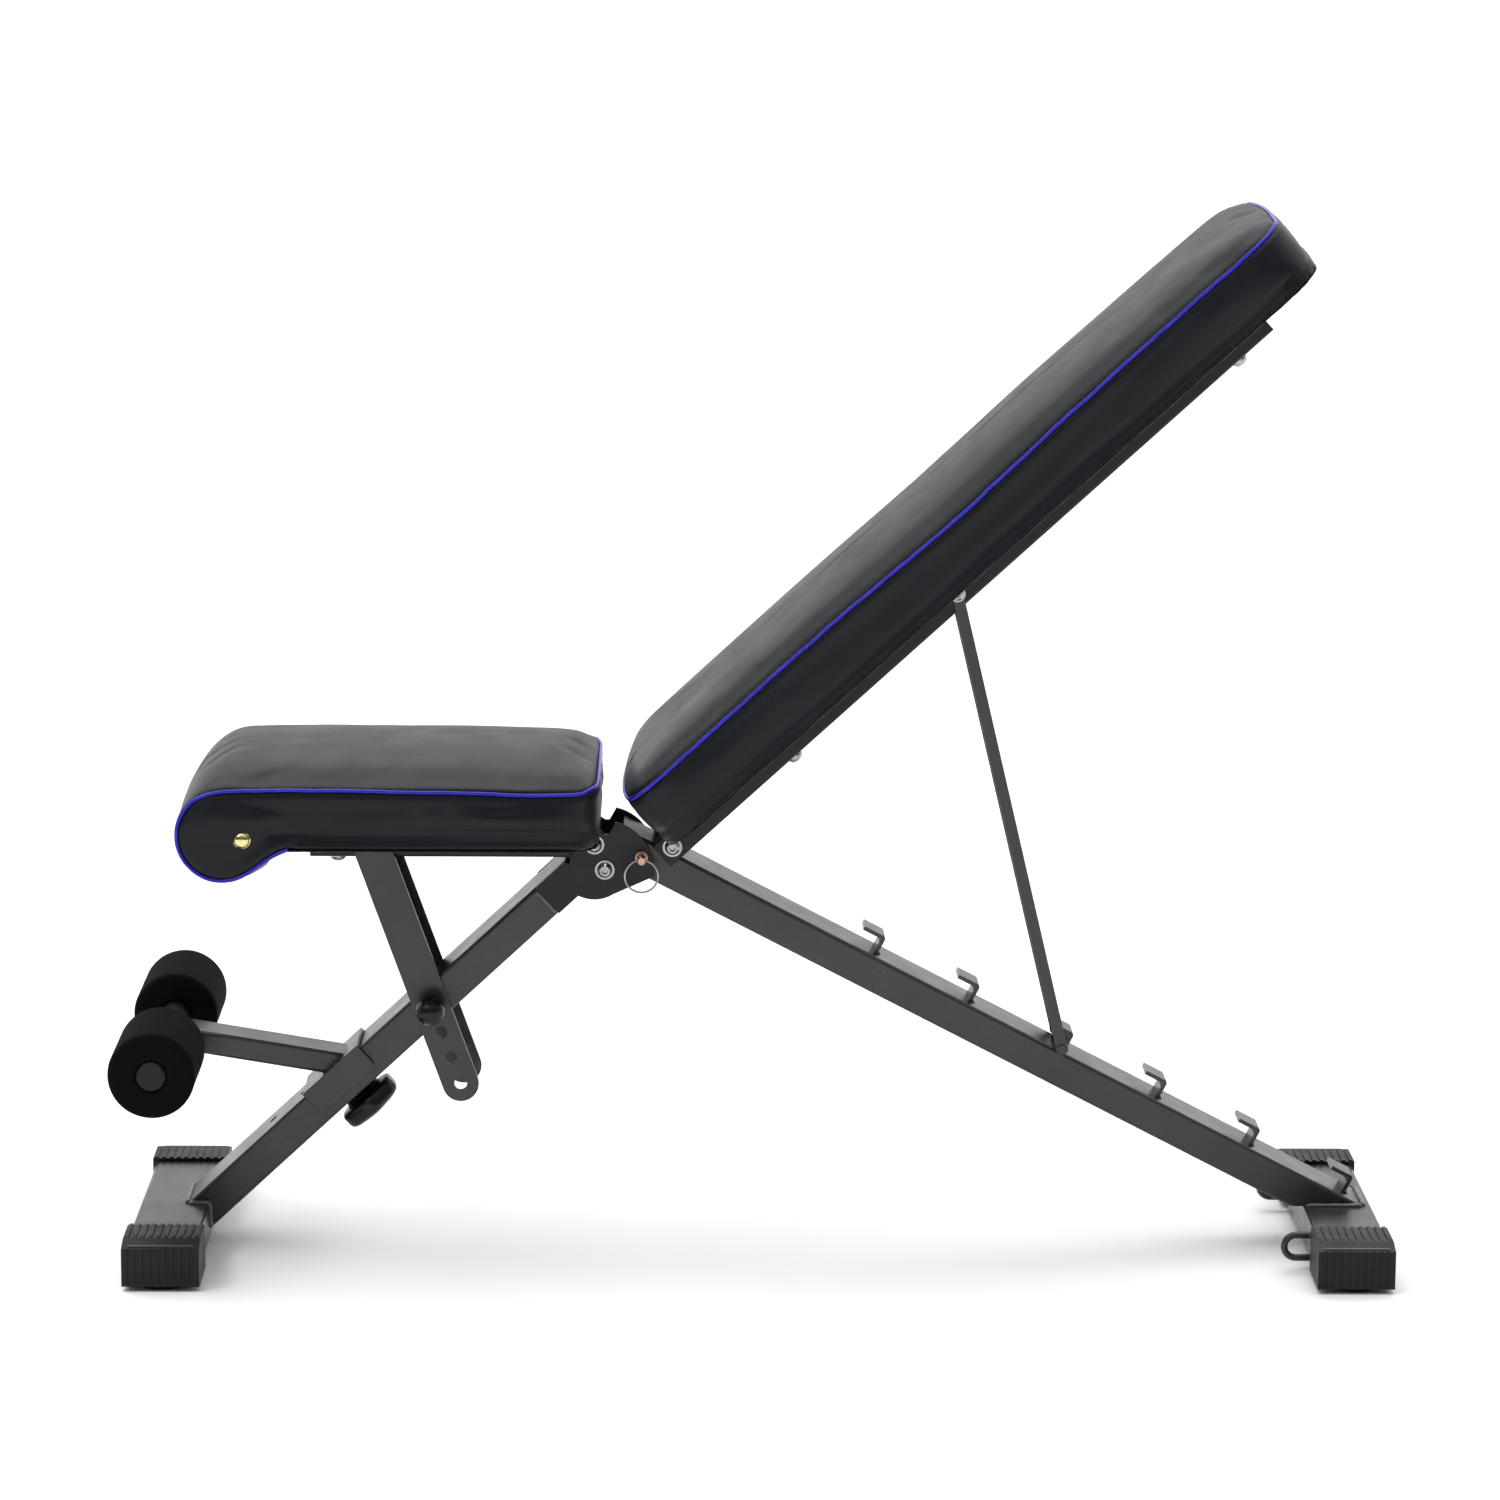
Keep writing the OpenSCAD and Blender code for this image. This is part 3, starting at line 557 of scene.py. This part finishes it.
def seat_path():
    """The seat piping's side line from rear edge to underside, with outward normals and crown heights."""
    pts, nrm, high = [], [], []
    for x in np.arange(SEAT_REAR, NOSE_X, -4.0):
        back = SEAT_REAR - x
        dip = -1.6 * math.exp(-((back - 55) / 40.0) ** 2) + 1.2 * math.exp(-((back - 250) / 60.0) ** 2)
        pts.append((x, SEAT_SIDE + dip))
        nrm.append((0.0, 1.0))
        high.append(20.0 * float(crown(back / 62.0)) - 2.0 * float(step(back, 120, 300)))
    turns = [90, 97, 110, 129, 152, 180, 225, 270, 300]
    nose_radii = [38.0, 38.3, 39.0, 40.0, 41.0, 41.5, 41.2, 40.6, 39.0]
    nose_high = [18.0, 16.4, 11.9, 6.3, 3.1, 2.6, 3.0, 3.0, 1.0]
    for a in np.arange(90.0, 301.0, 5.0):
        r, around = math.radians(a), float(np.interp(a, turns, nose_radii))
        pts.append((NOSE_X + around * math.cos(r), NOSE_Z + around * math.sin(r)))
        nrm.append((math.cos(r), math.sin(r)))
        high.append(float(np.interp(a, turns, nose_high)))
    a = math.radians(300)
    p0 = np.array([NOSE_X + nose_radii[-1] * math.cos(a), NOSE_Z + nose_radii[-1] * math.sin(a)])
    d0 = np.array([-math.sin(a), math.cos(a)])
    p3 = np.array([-393.0, SEAT_BOTTOM - 0.5])
    p1, p2 = p0 + d0 * 15.0, p3 + np.array([-13.0, -3.0])
    for t in np.linspace(0.12, 1.0, 8):
        q = (1 - t) ** 3 * p0 + 3 * (1 - t) ** 2 * t * p1 + 3 * (1 - t) * t * t * p2 + t ** 3 * p3
        pts.append(tuple(q))
        nrm.append((0.55, -0.83))
        high.append(2.0 * (1 - t))
    return np.array(pts), np.array(nrm), np.array(high)


def seat_rear(y):
    """How far back the seat's rear face is at y, with rounded plan corners."""
    over = np.clip((np.abs(y) - (HALF - CORNER_Y)) / CORNER_Y, 0, 1)
    return SEAT_REAR - CORNER_X * (1 - np.sqrt(1 - over ** 2))


def build_seat():
    pts, nrm, high = seat_path()
    before_swelling = 0.90
    under = [(x, SEAT_BOTTOM) for x in (-380.0, -300.0, -220.0, -150.0)]
    rear = [(SEAT_REAR, SEAT_BOTTOM + rise) for rise in (0, 17, 34)]
    rings = []
    for y in HALF * np.sin(np.linspace(-math.pi / 2, math.pi / 2, 61)):
        f = float(crown(1 - abs(y) / HALF)) if abs(y) < HALF else 0.0
        top = pts + nrm * (high * f * before_swelling)[:, None]
        line = np.array([*top, *under, *rear])
        line[:, 0] = np.minimum(line[:, 0], seat_rear(y))
        rings.append(np.column_stack([line[:, 0], np.full(len(line), y), line[:, 1]]))
    pad = loft("seat_cushion", rings, [VINYL])

    # the piping runs down one side, across the rear and up the other side
    side = pts[::-1]
    near = [(min(x, seat_rear(-HALF)), -HALF, z) for x, z in side]
    far = [(x, HALF, z) for x, _, z in reversed(near)]
    a = np.linspace(0, math.pi / 2, 9)
    arc_near = [(seat_rear(-HALF) + CORNER_X * math.sin(t), -HALF + CORNER_Y * (1 - math.cos(t)),
                 SEAT_SIDE + 2.0 * math.sin(t)) for t in a[1:]]
    across = [(SEAT_REAR, y, SEAT_SIDE + 2.0 + 1.0 * math.cos(math.pi * y / 160))
              for y in np.linspace(-76, 76, 31)]
    arc_far = [(x, -y, z) for x, y, z in reversed(arc_near)]
    loop = resample(np.array([*near, *arc_near, *across, *arc_far, *far]), LOOP_STEP)
    loop = soften(loop, 3)

    def hold(p):
        d, _ = distance_to(p, loop)
        over_board = p[:, 0] > -412
        return step(d, 3, 22) * step(p[:, 2], SEAT_BOTTOM + 2, SEAT_BOTTOM + 14) ** over_board

    stuff(pad, 4.6, SWELL_CAP, hold)
    co = coords(pad)
    # side panels: a soft bulge between the piping and the board, flatter towards the bottom
    side_w = (step(np.abs(co[:, 1]), HALF - 12, HALF - 1)
              * step(co[:, 2], SEAT_BOTTOM + 6, SEAT_BOTTOM + 34))
    d, _ = distance_to(co, loop)
    low_w = step(d, 2, 24)
    co[:, 1] += np.sign(co[:, 1]) * 2.2 * side_w * low_w
    set_coords(pad, co)
    ripple(pad, 1.0, 0.012, (0.6, 1.0, 1.6), 3.1,
           lambda p: step(distance_to(p, loop)[0], 8, 50) * step(p[:, 2], SEAT_SIDE - 2, SEAT_SIDE + 6))
    pinch(pad, loop, 2.4, 3.6)
    # the side panels are drawn in under a long crease over the board's edge, with two more below it
    co = coords(pad)
    fold_z = 391.5 + 3.0 * step(co[:, 0], -260, -140) + 0.7 * np.sin(co[:, 0] * 0.045)
    on_side = step(np.abs(co[:, 1]), HALF - 14, HALF - 5) * step(co[:, 0], -425, -400)
    under = 1.9 * (1 - step(co[:, 2], fold_z - 1.5, fold_z + 1.5))
    co[:, 1] -= np.sign(co[:, 1]) * under * on_side
    set_coords(pad, co)
    for sign in (-1, 1):
        for z, depth, width, start in ((389.5, 1.5, 2.4, -408.0), (381.5, 1.3, 2.3, -392.0)):
            xs = np.arange(start, -133.0, 2.0)
            zs = z + 3.0 * step(xs, -260, -140) + 0.7 * np.sin(xs * 0.045)
            line = np.column_stack([xs, np.full(len(xs), sign * (HALF - 1)), zs])
            pinch(pad, line, depth, width, lambda p: step(np.abs(p[:, 1]), HALF - 14, HALF - 5))
    # under the board the cover stays above the board's own face
    co = coords(pad)
    inside = ((co[:, 2] < SEAT_BOTTOM + 6) & (np.abs(co[:, 1]) < HALF - 10)
              & (co[:, 0] > -404) & (co[:, 0] < SEAT_REAR - 10))
    co[inside, 2] = np.maximum(co[inside, 2], SEAT_BOTTOM + 2.0)
    set_coords(pad, co)

    pipe_path = soften(on_surface(pad, loop, SEAT_PIPING_LIFT), 4)
    pipe = sweep("seat_piping", resample(pipe_path, PIPING_STEP), PIPING_R, [PIPING], 12)
    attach(pad, "seat")
    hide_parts("seat_pad")
    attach(pipe, "seat")
    # each gets its own copy of its mesh data
    for o in (pad, pipe):
        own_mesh(o)


# ------------------------------------------------------------ backrest cushion

BACK_LO, BACK_HI, BACK_R = 13.0, 735.0, 34.0


def pipe_height(u):
    """Height of the backrest's piping above the rail's centre line."""
    knots_u = [0, 150, 262, 330, 401, 455, 507, 620, 740]
    knots_v = [66.0, 67.0, 67.2, 64.8, 61.8, 63.2, 65.0, 65.6, 65.0]
    return np.interp(u + 25, knots_u, knots_v)


def plan(inset):
    """Backrest outline in plan as (u, y) points, moved in by inset, with bowed ends."""
    long_n, corner_n, end_n = 70, 14, 26
    mid = (BACK_LO + BACK_HI) / 2
    hl, hw = (BACK_HI - BACK_LO) / 2 - inset, HALF - inset
    r = max(BACK_R - inset, 0.6)
    r = min(r, hw * 0.98)
    pts = []
    cx, cy = hl - r, hw - r
    centres = [(cx, -cy, -90), (cx, cy, 0), (-cx, cy, 90), (-cx, -cy, 180)]
    for k, (cu, cy, a0) in enumerate(centres):
        for a in np.radians(np.linspace(a0, a0 + 90, corner_n)):
            pts.append((cu + r * math.cos(a), cy + r * math.sin(a)))
        nu, ny, _ = centres[(k + 1) % 4]
        a1 = math.radians(a0 + 90)
        s = np.array([cu + r * math.cos(a1), cy + r * math.sin(a1)])
        e = np.array([nu + r * math.cos(a1), ny + r * math.sin(a1)])
        n = end_n if k in (0, 2) else long_n
        for t in np.linspace(0, 1, n + 2)[1:-1]:
            pts.append(tuple(s + (e - s) * t))
    pts = np.array(pts)
    u, y = pts[:, 0] + mid, pts[:, 1]
    bow = 1 - (y / HALF) ** 2
    u = u - 12.0 * bow * (1 - step(u, BACK_LO, BACK_LO + 130))
    u = u + 7.0 * bow * step(u, BACK_HI - 120, BACK_HI)
    return np.column_stack([u, y])


def build_back():
    rings = []
    base = plan(0.0)
    edge_v = soften(np.column_stack([pipe_height(base[:, 0]), base]), 14, True)[:, 0]
    # underside, side panel, crown
    for inset, rise in ((24.0, 2.2), (10.0, 2.2), (8.5, 0.2), (3.0, 0.0)):
        p = plan(inset)
        rings.append(back_xyz(p[:, 0], p[:, 1], np.full(len(p), BACK_BASE + rise)))
    for w in np.linspace(0.0, 1.0, 9):
        p = plan(-2.2 * math.sin(math.pi * (0.08 + 0.92 * w)) if w < 1 else 0.0)
        rings.append(back_xyz(p[:, 0], p[:, 1], BACK_BASE + (edge_v - BACK_BASE) * w))
    for inset in (1.5, 4, 8, 13, 19, 27, 37, 50, 65, 82, 100, 116, 127):
        p = plan(float(inset))
        fullest = np.interp(p[:, 0], [0, 60, 230, 390, 520, 640, 740],
                            [14.5, 14.0, 15.0, 20.0, 17.5, 15.0, 12.0])
        lift = fullest * float(crown(inset / 118.0))
        rings.append(back_xyz(p[:, 0], p[:, 1], edge_v + lift))
    pad = loft("backrest_cushion", rings, [VINYL])
    loop = resample(back_xyz(base[:, 0], base[:, 1], edge_v), LOOP_STEP, True)

    def local(p):
        """Places along the rail and out of it."""
        d = p[:, [0, 2]] - BACK_C
        u = d[:, 0] * math.cos(BACK_A) + d[:, 1] * math.sin(BACK_A)
        v = -d[:, 0] * math.sin(BACK_A) + d[:, 1] * math.cos(BACK_A)
        return u, v

    def hold(p):
        d, _ = distance_to(p, loop)
        _, v = local(p)
        return step(d, 3, 22) * step(v, BACK_BASE + 2, BACK_BASE + 16)

    stuff(pad, 5.2, SWELL_CAP, hold)
    co = coords(pad)
    u, v = local(co)
    ripple(pad, 1.0, 0.009, (0.8, 1.0, 0.8), 7.7,
           lambda p: step(distance_to(p, loop)[0], 10, 50) * step(v, 64, 72))
    pinch(pad, loop, 2.4, 3.8)
    # the cover is drawn in under a long fold above the board, less so at the ends
    co = coords(pad)
    fold_v = BACK_BASE + 15.0 + 1.6 * np.sin(u * 0.016 + 0.6) + 0.6 * np.sin(u * 0.055)
    under = 2.2 * (1 - step(v, fold_v - 1.6, fold_v + 1.6)) * step(v, BACK_BASE - 2, BACK_BASE + 1)
    under = under * step(u, BACK_LO - 8, BACK_LO + 40) * (1 - step(u, BACK_HI - 45, BACK_HI - 5))
    outward = normals(pad)
    faces_up = np.abs(outward @ np.array([-math.sin(BACK_A), 0, math.cos(BACK_A)])) > 0.6
    outward[faces_up] = 0.0
    set_coords(pad, co - outward * under[:, None])
    wob = 1.6 * np.sin(base[:, 0] * 0.016 + 0.6) + 0.6 * np.sin(base[:, 0] * 0.055)
    for rise, depth, width in ((12.5, 1.6, 2.7), (5.0, 1.2, 2.5)):
        line = resample(back_xyz(base[:, 0], base[:, 1], BACK_BASE + rise + wob), 2.5, True)
        pinch(pad, line, depth, width)
    pipe_path = soften(on_surface(pad, loop, BACK_PIPING_LIFT), 4, True)
    pipe_path = resample(pipe_path, PIPING_STEP, True)
    pipe = sweep("backrest_piping", pipe_path, PIPING_R, [PIPING], closed=True)
    top_end = back_xyz(738.0, 0.0, 40.0) * 0.001
    for o in (pad, pipe):
        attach(o, "backrest")
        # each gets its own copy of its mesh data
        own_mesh(o)
    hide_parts("back_pad")


build_seat()
build_back()

# ------------------------------------------------------------------- rollers


def divided(profile, longest):
    """A profile with points added so that no piece is much longer than longest."""
    fine = []
    for a, b in zip(profile, profile[1:]):
        a, b = np.array(a), np.array(b)
        n = max(1, int(np.linalg.norm(b - a) / longest))
        fine += [a + (b - a) * k / n for k in range(n)]
    return [(float(h), float(r)) for h, r in [*fine, profile[-1]]]


def build_roller(name, sign):
    lo, hi, r, bore = 58.0, 160.0, 37.0, 12.7
    corners = [(lo + 3, bore), (lo, bore + 2), (lo, r), (hi, r), (hi, bore + 2), (hi - 3, bore)]
    profile = divided(rounded(corners, 6.5, 7), 3.0) + [(lo + 3, bore)]
    seed = 5.0 * sign

    def wave(h, angles):
        places = [Vector((math.cos(a) * 1.3, math.sin(a) * 1.3, h * 0.03 + seed)) for a in angles]
        return np.array([1 + 0.006 * noise.noise(p) for p in places])
    return lathe(name, profile, (AXLE[0], 0.0, AXLE[1]), (0, sign, 0), [FOAM], 96, wave)


for body, sign in (("roller_near", -1), ("roller_far", 1)):
    roll = build_roller("foam_" + body, sign)
    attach(roll, body)
    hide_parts(body)

# ------------------------------------------------ knob, studs, hems and welds


def merged(name, parts):
    """One object from several of the same material."""
    bm = bmesh.new()
    for o in parts:
        bm.from_mesh(o.data)
    me = bpy.data.meshes.new(name)
    bm.to_mesh(me)
    bm.free()
    me.materials.append(parts[0].data.materials[0])
    for o in parts:
        bpy.data.objects.remove(o)
    o = bpy.data.objects.new(name, me)
    SCENE.collection.objects.link(o)
    return smooth_shade(o)


def build_knob():
    lobes = 6
    profile = [(-41.4, 0.0), (-41.1, 9.0), (-40.0, 17.0), (-38.6, 22.5), (-37.0, 26.0), (-34.8, 27.5),
               (-32.0, 27.9), (-26.0, 27.9), (-23.9, 27.0), (-22.7, 24.4), (-22.4, 18.8), (-20.0, 17.2),
               (-16.2, 16.2), (-16.0, 0.0)]

    def lobe(h, angles):
        share = 1.0 - float(step(h, -23.6, -22.4))
        wave = np.cos(lobes * angles)
        return 1 + 0.032 * share * np.sign(wave) * np.abs(wave) ** 0.75
    k = front_pt(203.0)
    screw_axis = (-math.sin(FRONT_A), 0, math.cos(FRONT_A))
    return lathe("knob_grip", divided(profile, 2.5), (k[0], 0.0, k[1]), screw_axis, [KNOB], 120, lobe)


knob = build_knob()
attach(knob, "hold_knob")
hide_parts("hold_knob")

STUD = np.array([NOSE_X + 15.6, NOSE_Z - 3.0])
DOME = [(-2.5, 3.0), (-2.2, 7.4), (0.4, 7.6), (0.9, 7.3), (1.1, 6.6), (2.2, 6.3), (3.4, 5.2), (4.2, 3.6),
        (4.6, 1.8), (4.7, 0.0)]
for side_name, sign in (("near", -1), ("far", 1)):
    place = (STUD[0], sign * (HALF + 0.4), STUD[1])
    stud = lathe("seat_stud_" + side_name, DOME, place, (0, sign, 0), [BRASS], 40)
    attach(stud, "seat")
    if sign < 0:
        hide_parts("seat_studs")


def hem(name, outline, place, low):
    """Turned-under edge of a cover on the underside of its board."""
    section = [(2.0, 1.0), (1.2, 0.3), (3.2, -0.4), (12.0, -0.9), (24.0, -1.0), (30.0, -0.7), (30.5, 0.6)]
    base = outline(0.0)
    n = len(base)
    t = np.arange(n)
    tuck = 0.45 * np.sin(t * 1.9) + 0.35 * np.sin(t * 0.77 + 1.0)
    rings = []
    for inset, lift in section:
        p = outline(inset)
        rings.append(place(p[:, 0], p[:, 1], low + lift + tuck * (0.4 if lift < 0 else 0.0)))
    verts = np.concatenate(rings)
    faces = strip_faces(len(rings), n)
    last = (len(rings) - 1) * n
    faces += [(last + i, last + (i + 1) % n, (i + 1) % n, i) for i in range(n)]
    return fix_normals(make(name, verts, faces, [VINYL]))


def staples(name, outline, place, low, spacing=38.0):
    """A row of staples, each turned a little, through the turned-under edge."""
    middle = outline(19.0)
    path = resample(np.column_stack([middle, np.zeros(len(middle))]), spacing, True)
    ahead = np.roll(path, -1, 0) - path
    parts = []
    for k, (p, d) in enumerate(zip(path, ahead)):
        d = d / np.linalg.norm(d)
        turn = 0.25 * math.sin(k * 2.4)
        c, s = math.cos(turn), math.sin(turn)
        d = np.array([d[0] * c - d[1] * s, d[0] * s + d[1] * c])
        a, b = p[:2] - 5.0 * d, p[:2] + 5.0 * d
        a2, b2 = p[:2] - 4.4 * d, p[:2] + 4.4 * d
        bent = [(a, 1.2), (a, -1.1), (a2, -1.7), (b2, -1.7), (b, -1.1), (b, 1.2)]
        line = [place(q[0], q[1], low + v) for q, v in bent]
        parts.append(sweep("staple", line, 0.45, [STAPLE], 6))
    return merged(name, parts)


def seat_outline(inset):
    """The seat board's outline in plan, moved in by inset."""
    front, rear = -398.0 + inset, SEAT_REAR - inset
    r = max(HEM_CORNER - inset, 3.0)
    hw = HALF - inset
    pts = []
    for cx, cy, a0 in ((rear - r, -(hw - r), -90), (rear - r, hw - r, 0), (front + 3, hw - 3, 90),
                       (front + 3, -(hw - 3), 180)):
        rr = r if a0 < 90 else 3.0
        for a in np.radians(np.linspace(a0, a0 + 90, 12)):
            pts.append((cx + rr * math.cos(a), cy + rr * math.sin(a)))
    out = []
    for a, b in zip(pts, pts[1:] + pts[:1]):
        a, b = np.array(a), np.array(b)
        n = 40 if np.linalg.norm(b - a) > 60 else 1
        out += [a + (b - a) * k / n for k in range(n)]
    return np.array(out)


def seat_place(x, y, z):
    x, y, z = np.broadcast_arrays(*(np.asarray(a, float) for a in (x, y, z)))
    return np.stack([x, y, z], -1)


seat_hem = hem("seat_cover_hem", seat_outline, seat_place, SEAT_BOTTOM)
seat_staples = staples("seat_staples", seat_outline, seat_place, SEAT_BOTTOM)
back_hem = hem("backrest_cover_hem", plan, back_xyz, BACK_BASE)
back_staples = staples("backrest_staples", plan, back_xyz, BACK_BASE)
for o, body, slot_name in ((seat_hem, "seat", "vinyl"), (seat_staples, "seat", "zinc"),
                           (back_hem, "backrest", "vinyl"), (back_staples, "backrest", "zinc")):
    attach(o, body)
tuple(back_xyz(738.0, 0.0, 40.0) * 0.001)
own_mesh(back_hem)


def bead(path, radius=1.9, seed=0.0):
    """Weld bead with overlapping ripples along a path."""
    path = resample(np.array(path, float), 0.8)
    s = np.arange(len(path)) * 0.8
    ends = np.minimum(1.0, np.minimum(s, s[-1] - s) / 3.0 + 0.35)
    ripples = 1 + 0.13 * np.abs(np.sin(s * 1.15 + seed)) + 0.08 * np.sin(s * 0.37 + 2 * seed)
    # the beads take the lighter weld colour, which holds a painted highlight
    return sweep("bead", path, radius * ripples * ends, [WELD], 10)


def leg_line(pt, side, stations):
    return [np.array([pt(s, n)[0], side, pt(s, n)[1]]) for s, n in stations]


rear_beads, front_beads = [], []
for sign in (-1, 1):
    y = sign * 30.8
    rear_beads.append(bead([(485.0, y, FOOT_TOP + 0.5), (534.5, y, FOOT_TOP + 0.5)], 2.3, sign))
    front_beads.append(bead([(-491.0, y, FOOT_TOP + 0.5), (-473.0, y, FOOT_TOP + 0.3), (-472.4, y, 34.0),
                             (-472.4, y, 18.0)], 2.3, sign + 1))
    front_beads.append(bead(leg_line(front_pt, sign * 31.3, [(442.8, -13.0), (442.8, 13.0)]), 1.9, sign + 2))
    for z in (12.5, 32.5):
        rear_beads.append(bead([(481.6, sign * 96 - 3.4, z), (481.0, sign * 96, z), (481.6, sign * 96 + 3.4, z)],
                               2.0, z))
rear_beads.append(bead([(535.8, -29.0, FOOT_TOP + 0.5), (535.8, 29.0, FOOT_TOP + 0.5)], 2.1, 0.4))
front_beads.append(bead([(-492.4, -29.0, FOOT_TOP + 0.5), (-492.4, 29.0, FOOT_TOP + 0.5)], 2.1, 0.9))
for i in range(1, 7):
    s = 285.6 + (3 - i) * 93.0 - 9.0
    a = rear_pt(s, 15.4)
    rear_beads.append(bead([(a[0], -14.0, a[1]), (a[0], 14.0, a[1])], 1.7, i))
for name, beads, body in (("rear_frame_welds", rear_beads, "rear_frame"),
                          ("front_frame_welds", front_beads, "front_frame")):
    o = merged(name, beads)
    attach(o, body)

# ------------------------------------------------------- carried-over CAD nodes

LOOK = {
    "black": (CAP, ("rear_cap_near", "rear_cap_far", "front_cap_near", "front_cap_far", "seat_plug", "back_plug",
                    "axle_plugs", "hold_axle")),
    "knob": (KNOB, ("seat_pin_ball", "hold_knob")),
    "rubber": (RUBBER, ("rear_pads", "front_pads")),
    "wood": (WOOD, ("seat_board", "back_board")),
    "brass": (BRASS, ("seat_studs",)),
    "zinc": (ZINC, ("fold_bolt", "seat_bolt", "frame_nuts", "lock_ring", "seat_pin", "seat_pad_screws",
                    "post_bolt", "hold_screw", "back_bolt", "back_pad_screws", "bar_bolt")),
    "copper": (COPPER, ("lock_pin",)),
    # painted shade: these parts take the darker copy of the frame paint
    "dark": (SHADE_DARKENED_PAINT, ("back_tube", "seat_tube", "hinge_plate_near", "hinge_plate_far", "back_bush")),
}
chosen = {n: m for m, names in LOOK.values() for n in names}
NO_BEVEL = {"seat_board", "back_board", "seat_pad", "back_pad", "roller_near", "roller_far", "lock_ring",
            "seat_pin_ball"}
FINE = {"fold_bolt", "seat_bolt", "frame_nuts", "lock_pin", "seat_pin", "seat_pad_screws", "post_bolt", "hold_screw",
        "back_bolt", "back_pad_screws", "bar_bolt", "axle_plugs", "seat_studs"}
for n, o in NODES.items():
    o.data.materials.clear()
    o.data.materials.append(chosen.get(n, PAINT))
    if n in NO_BEVEL or o.hide_render:
        continue
    weld = o.modifiers.new("weld", "WELD")
    weld.merge_threshold = 1e-6
    flat = o.modifiers.new("flat", "DECIMATE")
    flat.decimate_type = "DISSOLVE"
    flat.angle_limit = math.radians(0.4)
    bevel = o.modifiers.new("bevel", "BEVEL")
    bevel.limit_method = "ANGLE"
    bevel.angle_limit = math.radians(28)
    bevel.width = 0.00022 if n in FINE else 0.0005
    bevel.segments = 2
    bevel.use_clamp_overlap = True
    bevel.harden_normals = False

# ---------------------------------------------------------------- stage, camera

bpy.ops.mesh.primitive_plane_add(size=60.0, location=(0, 0, 0))
floor = bpy.context.object
floor.name = "floor"
fm = Mat("pale_floor")
fm.set(Roughness=0.9, Specular_IOR_Level=0.1)
fm.base(fm.colours(fm.noise(1.5, 2.0), [(0.0, (0.90, 0.90, 0.90)), (1.0, (0.93, 0.93, 0.93))]))
floor.data.materials.append(fm.m)

world = bpy.data.worlds.new("studio")
SCENE.world = world
world.use_nodes = True
wt = world.node_tree
background = wt.nodes["Background"]
background.inputs["Color"].default_value = (1.0, 1.0, 1.0, 1.0)
where = wt.nodes.new("ShaderNodeTexCoord")
parts = wt.nodes.new("ShaderNodeSeparateXYZ")
wt.links.new(where.outputs["Generated"], parts.inputs[0])
# the backdrop behind the bench and the ceiling are bright, the room behind the camera is dim
levels = []
for axis, lo_v, hi_v, lo_s, hi_s in (("Y", -0.35, 0.40, 0.10, 1.04), ("Z", 0.15, 0.95, 0.0, 0.80)):
    ramp = map_range(wt, parts.outputs[axis], lo_s, hi_s, lo_v, hi_v)
    ramp.interpolation_type = "SMOOTHSTEP"
    levels.append(ramp.outputs[0])
total = wt.nodes.new("ShaderNodeMath")
total.operation = "ADD"
wt.links.new(levels[0], total.inputs[0])
wt.links.new(levels[1], total.inputs[1])
wt.links.new(total.outputs[0], background.inputs["Strength"])

sun_data = bpy.data.lights.new("overhead", "SUN")
sun_data.energy = 1.5
sun_data.angle = math.radians(55)
sun = bpy.data.objects.new("overhead", sun_data)
SCENE.collection.objects.link(sun)
sun.rotation_euler = Vector((0.20, -0.06, -1.0)).to_track_quat("-Z", "Y").to_euler()


def area(name, place, target, size, power):
    data = bpy.data.lights.new(name, "AREA")
    data.shape = "RECTANGLE"
    data.size, data.size_y = size
    data.energy = power
    o = bpy.data.objects.new(name, data)
    SCENE.collection.objects.link(o)
    o.location = place
    o.rotation_euler = (Vector(target) - Vector(place)).to_track_quat("-Z", "Y").to_euler()
    return o


area("window", (-1.9, -1.6, 2.6), (0, 0, 0.35), (1.1, 1.1), 14)

cam_data = bpy.data.cameras.new("camera")
cam = bpy.data.objects.new("camera", cam_data)
SCENE.collection.objects.link(cam)
SCENE.camera = cam
cam_data.sensor_width = 36.0
cam_data.lens = 122.2
cam_data.clip_end = 60.0
pitch, yaw, roll_a = math.radians(10.803), math.radians(0.893), math.radians(0.39)
fwd = Vector((math.sin(yaw) * math.cos(pitch), math.cos(yaw) * math.cos(pitch), -math.sin(pitch)))
right = Vector((math.cos(yaw), -math.sin(yaw), 0.0))
up = right.cross(fwd)
right2 = math.cos(roll_a) * right + math.sin(roll_a) * up
up2 = -math.sin(roll_a) * right + math.cos(roll_a) * up
rot = Matrix((right2, up2, -fwd)).transposed()
cam.matrix_world = Matrix.Translation(Vector((-0.071, -4.326, 1.264))) @ rot.to_4x4()

SCENE.view_settings.view_transform = "Standard"
SCENE.view_settings.look = "None"
SCENE.view_settings.exposure = 0.0
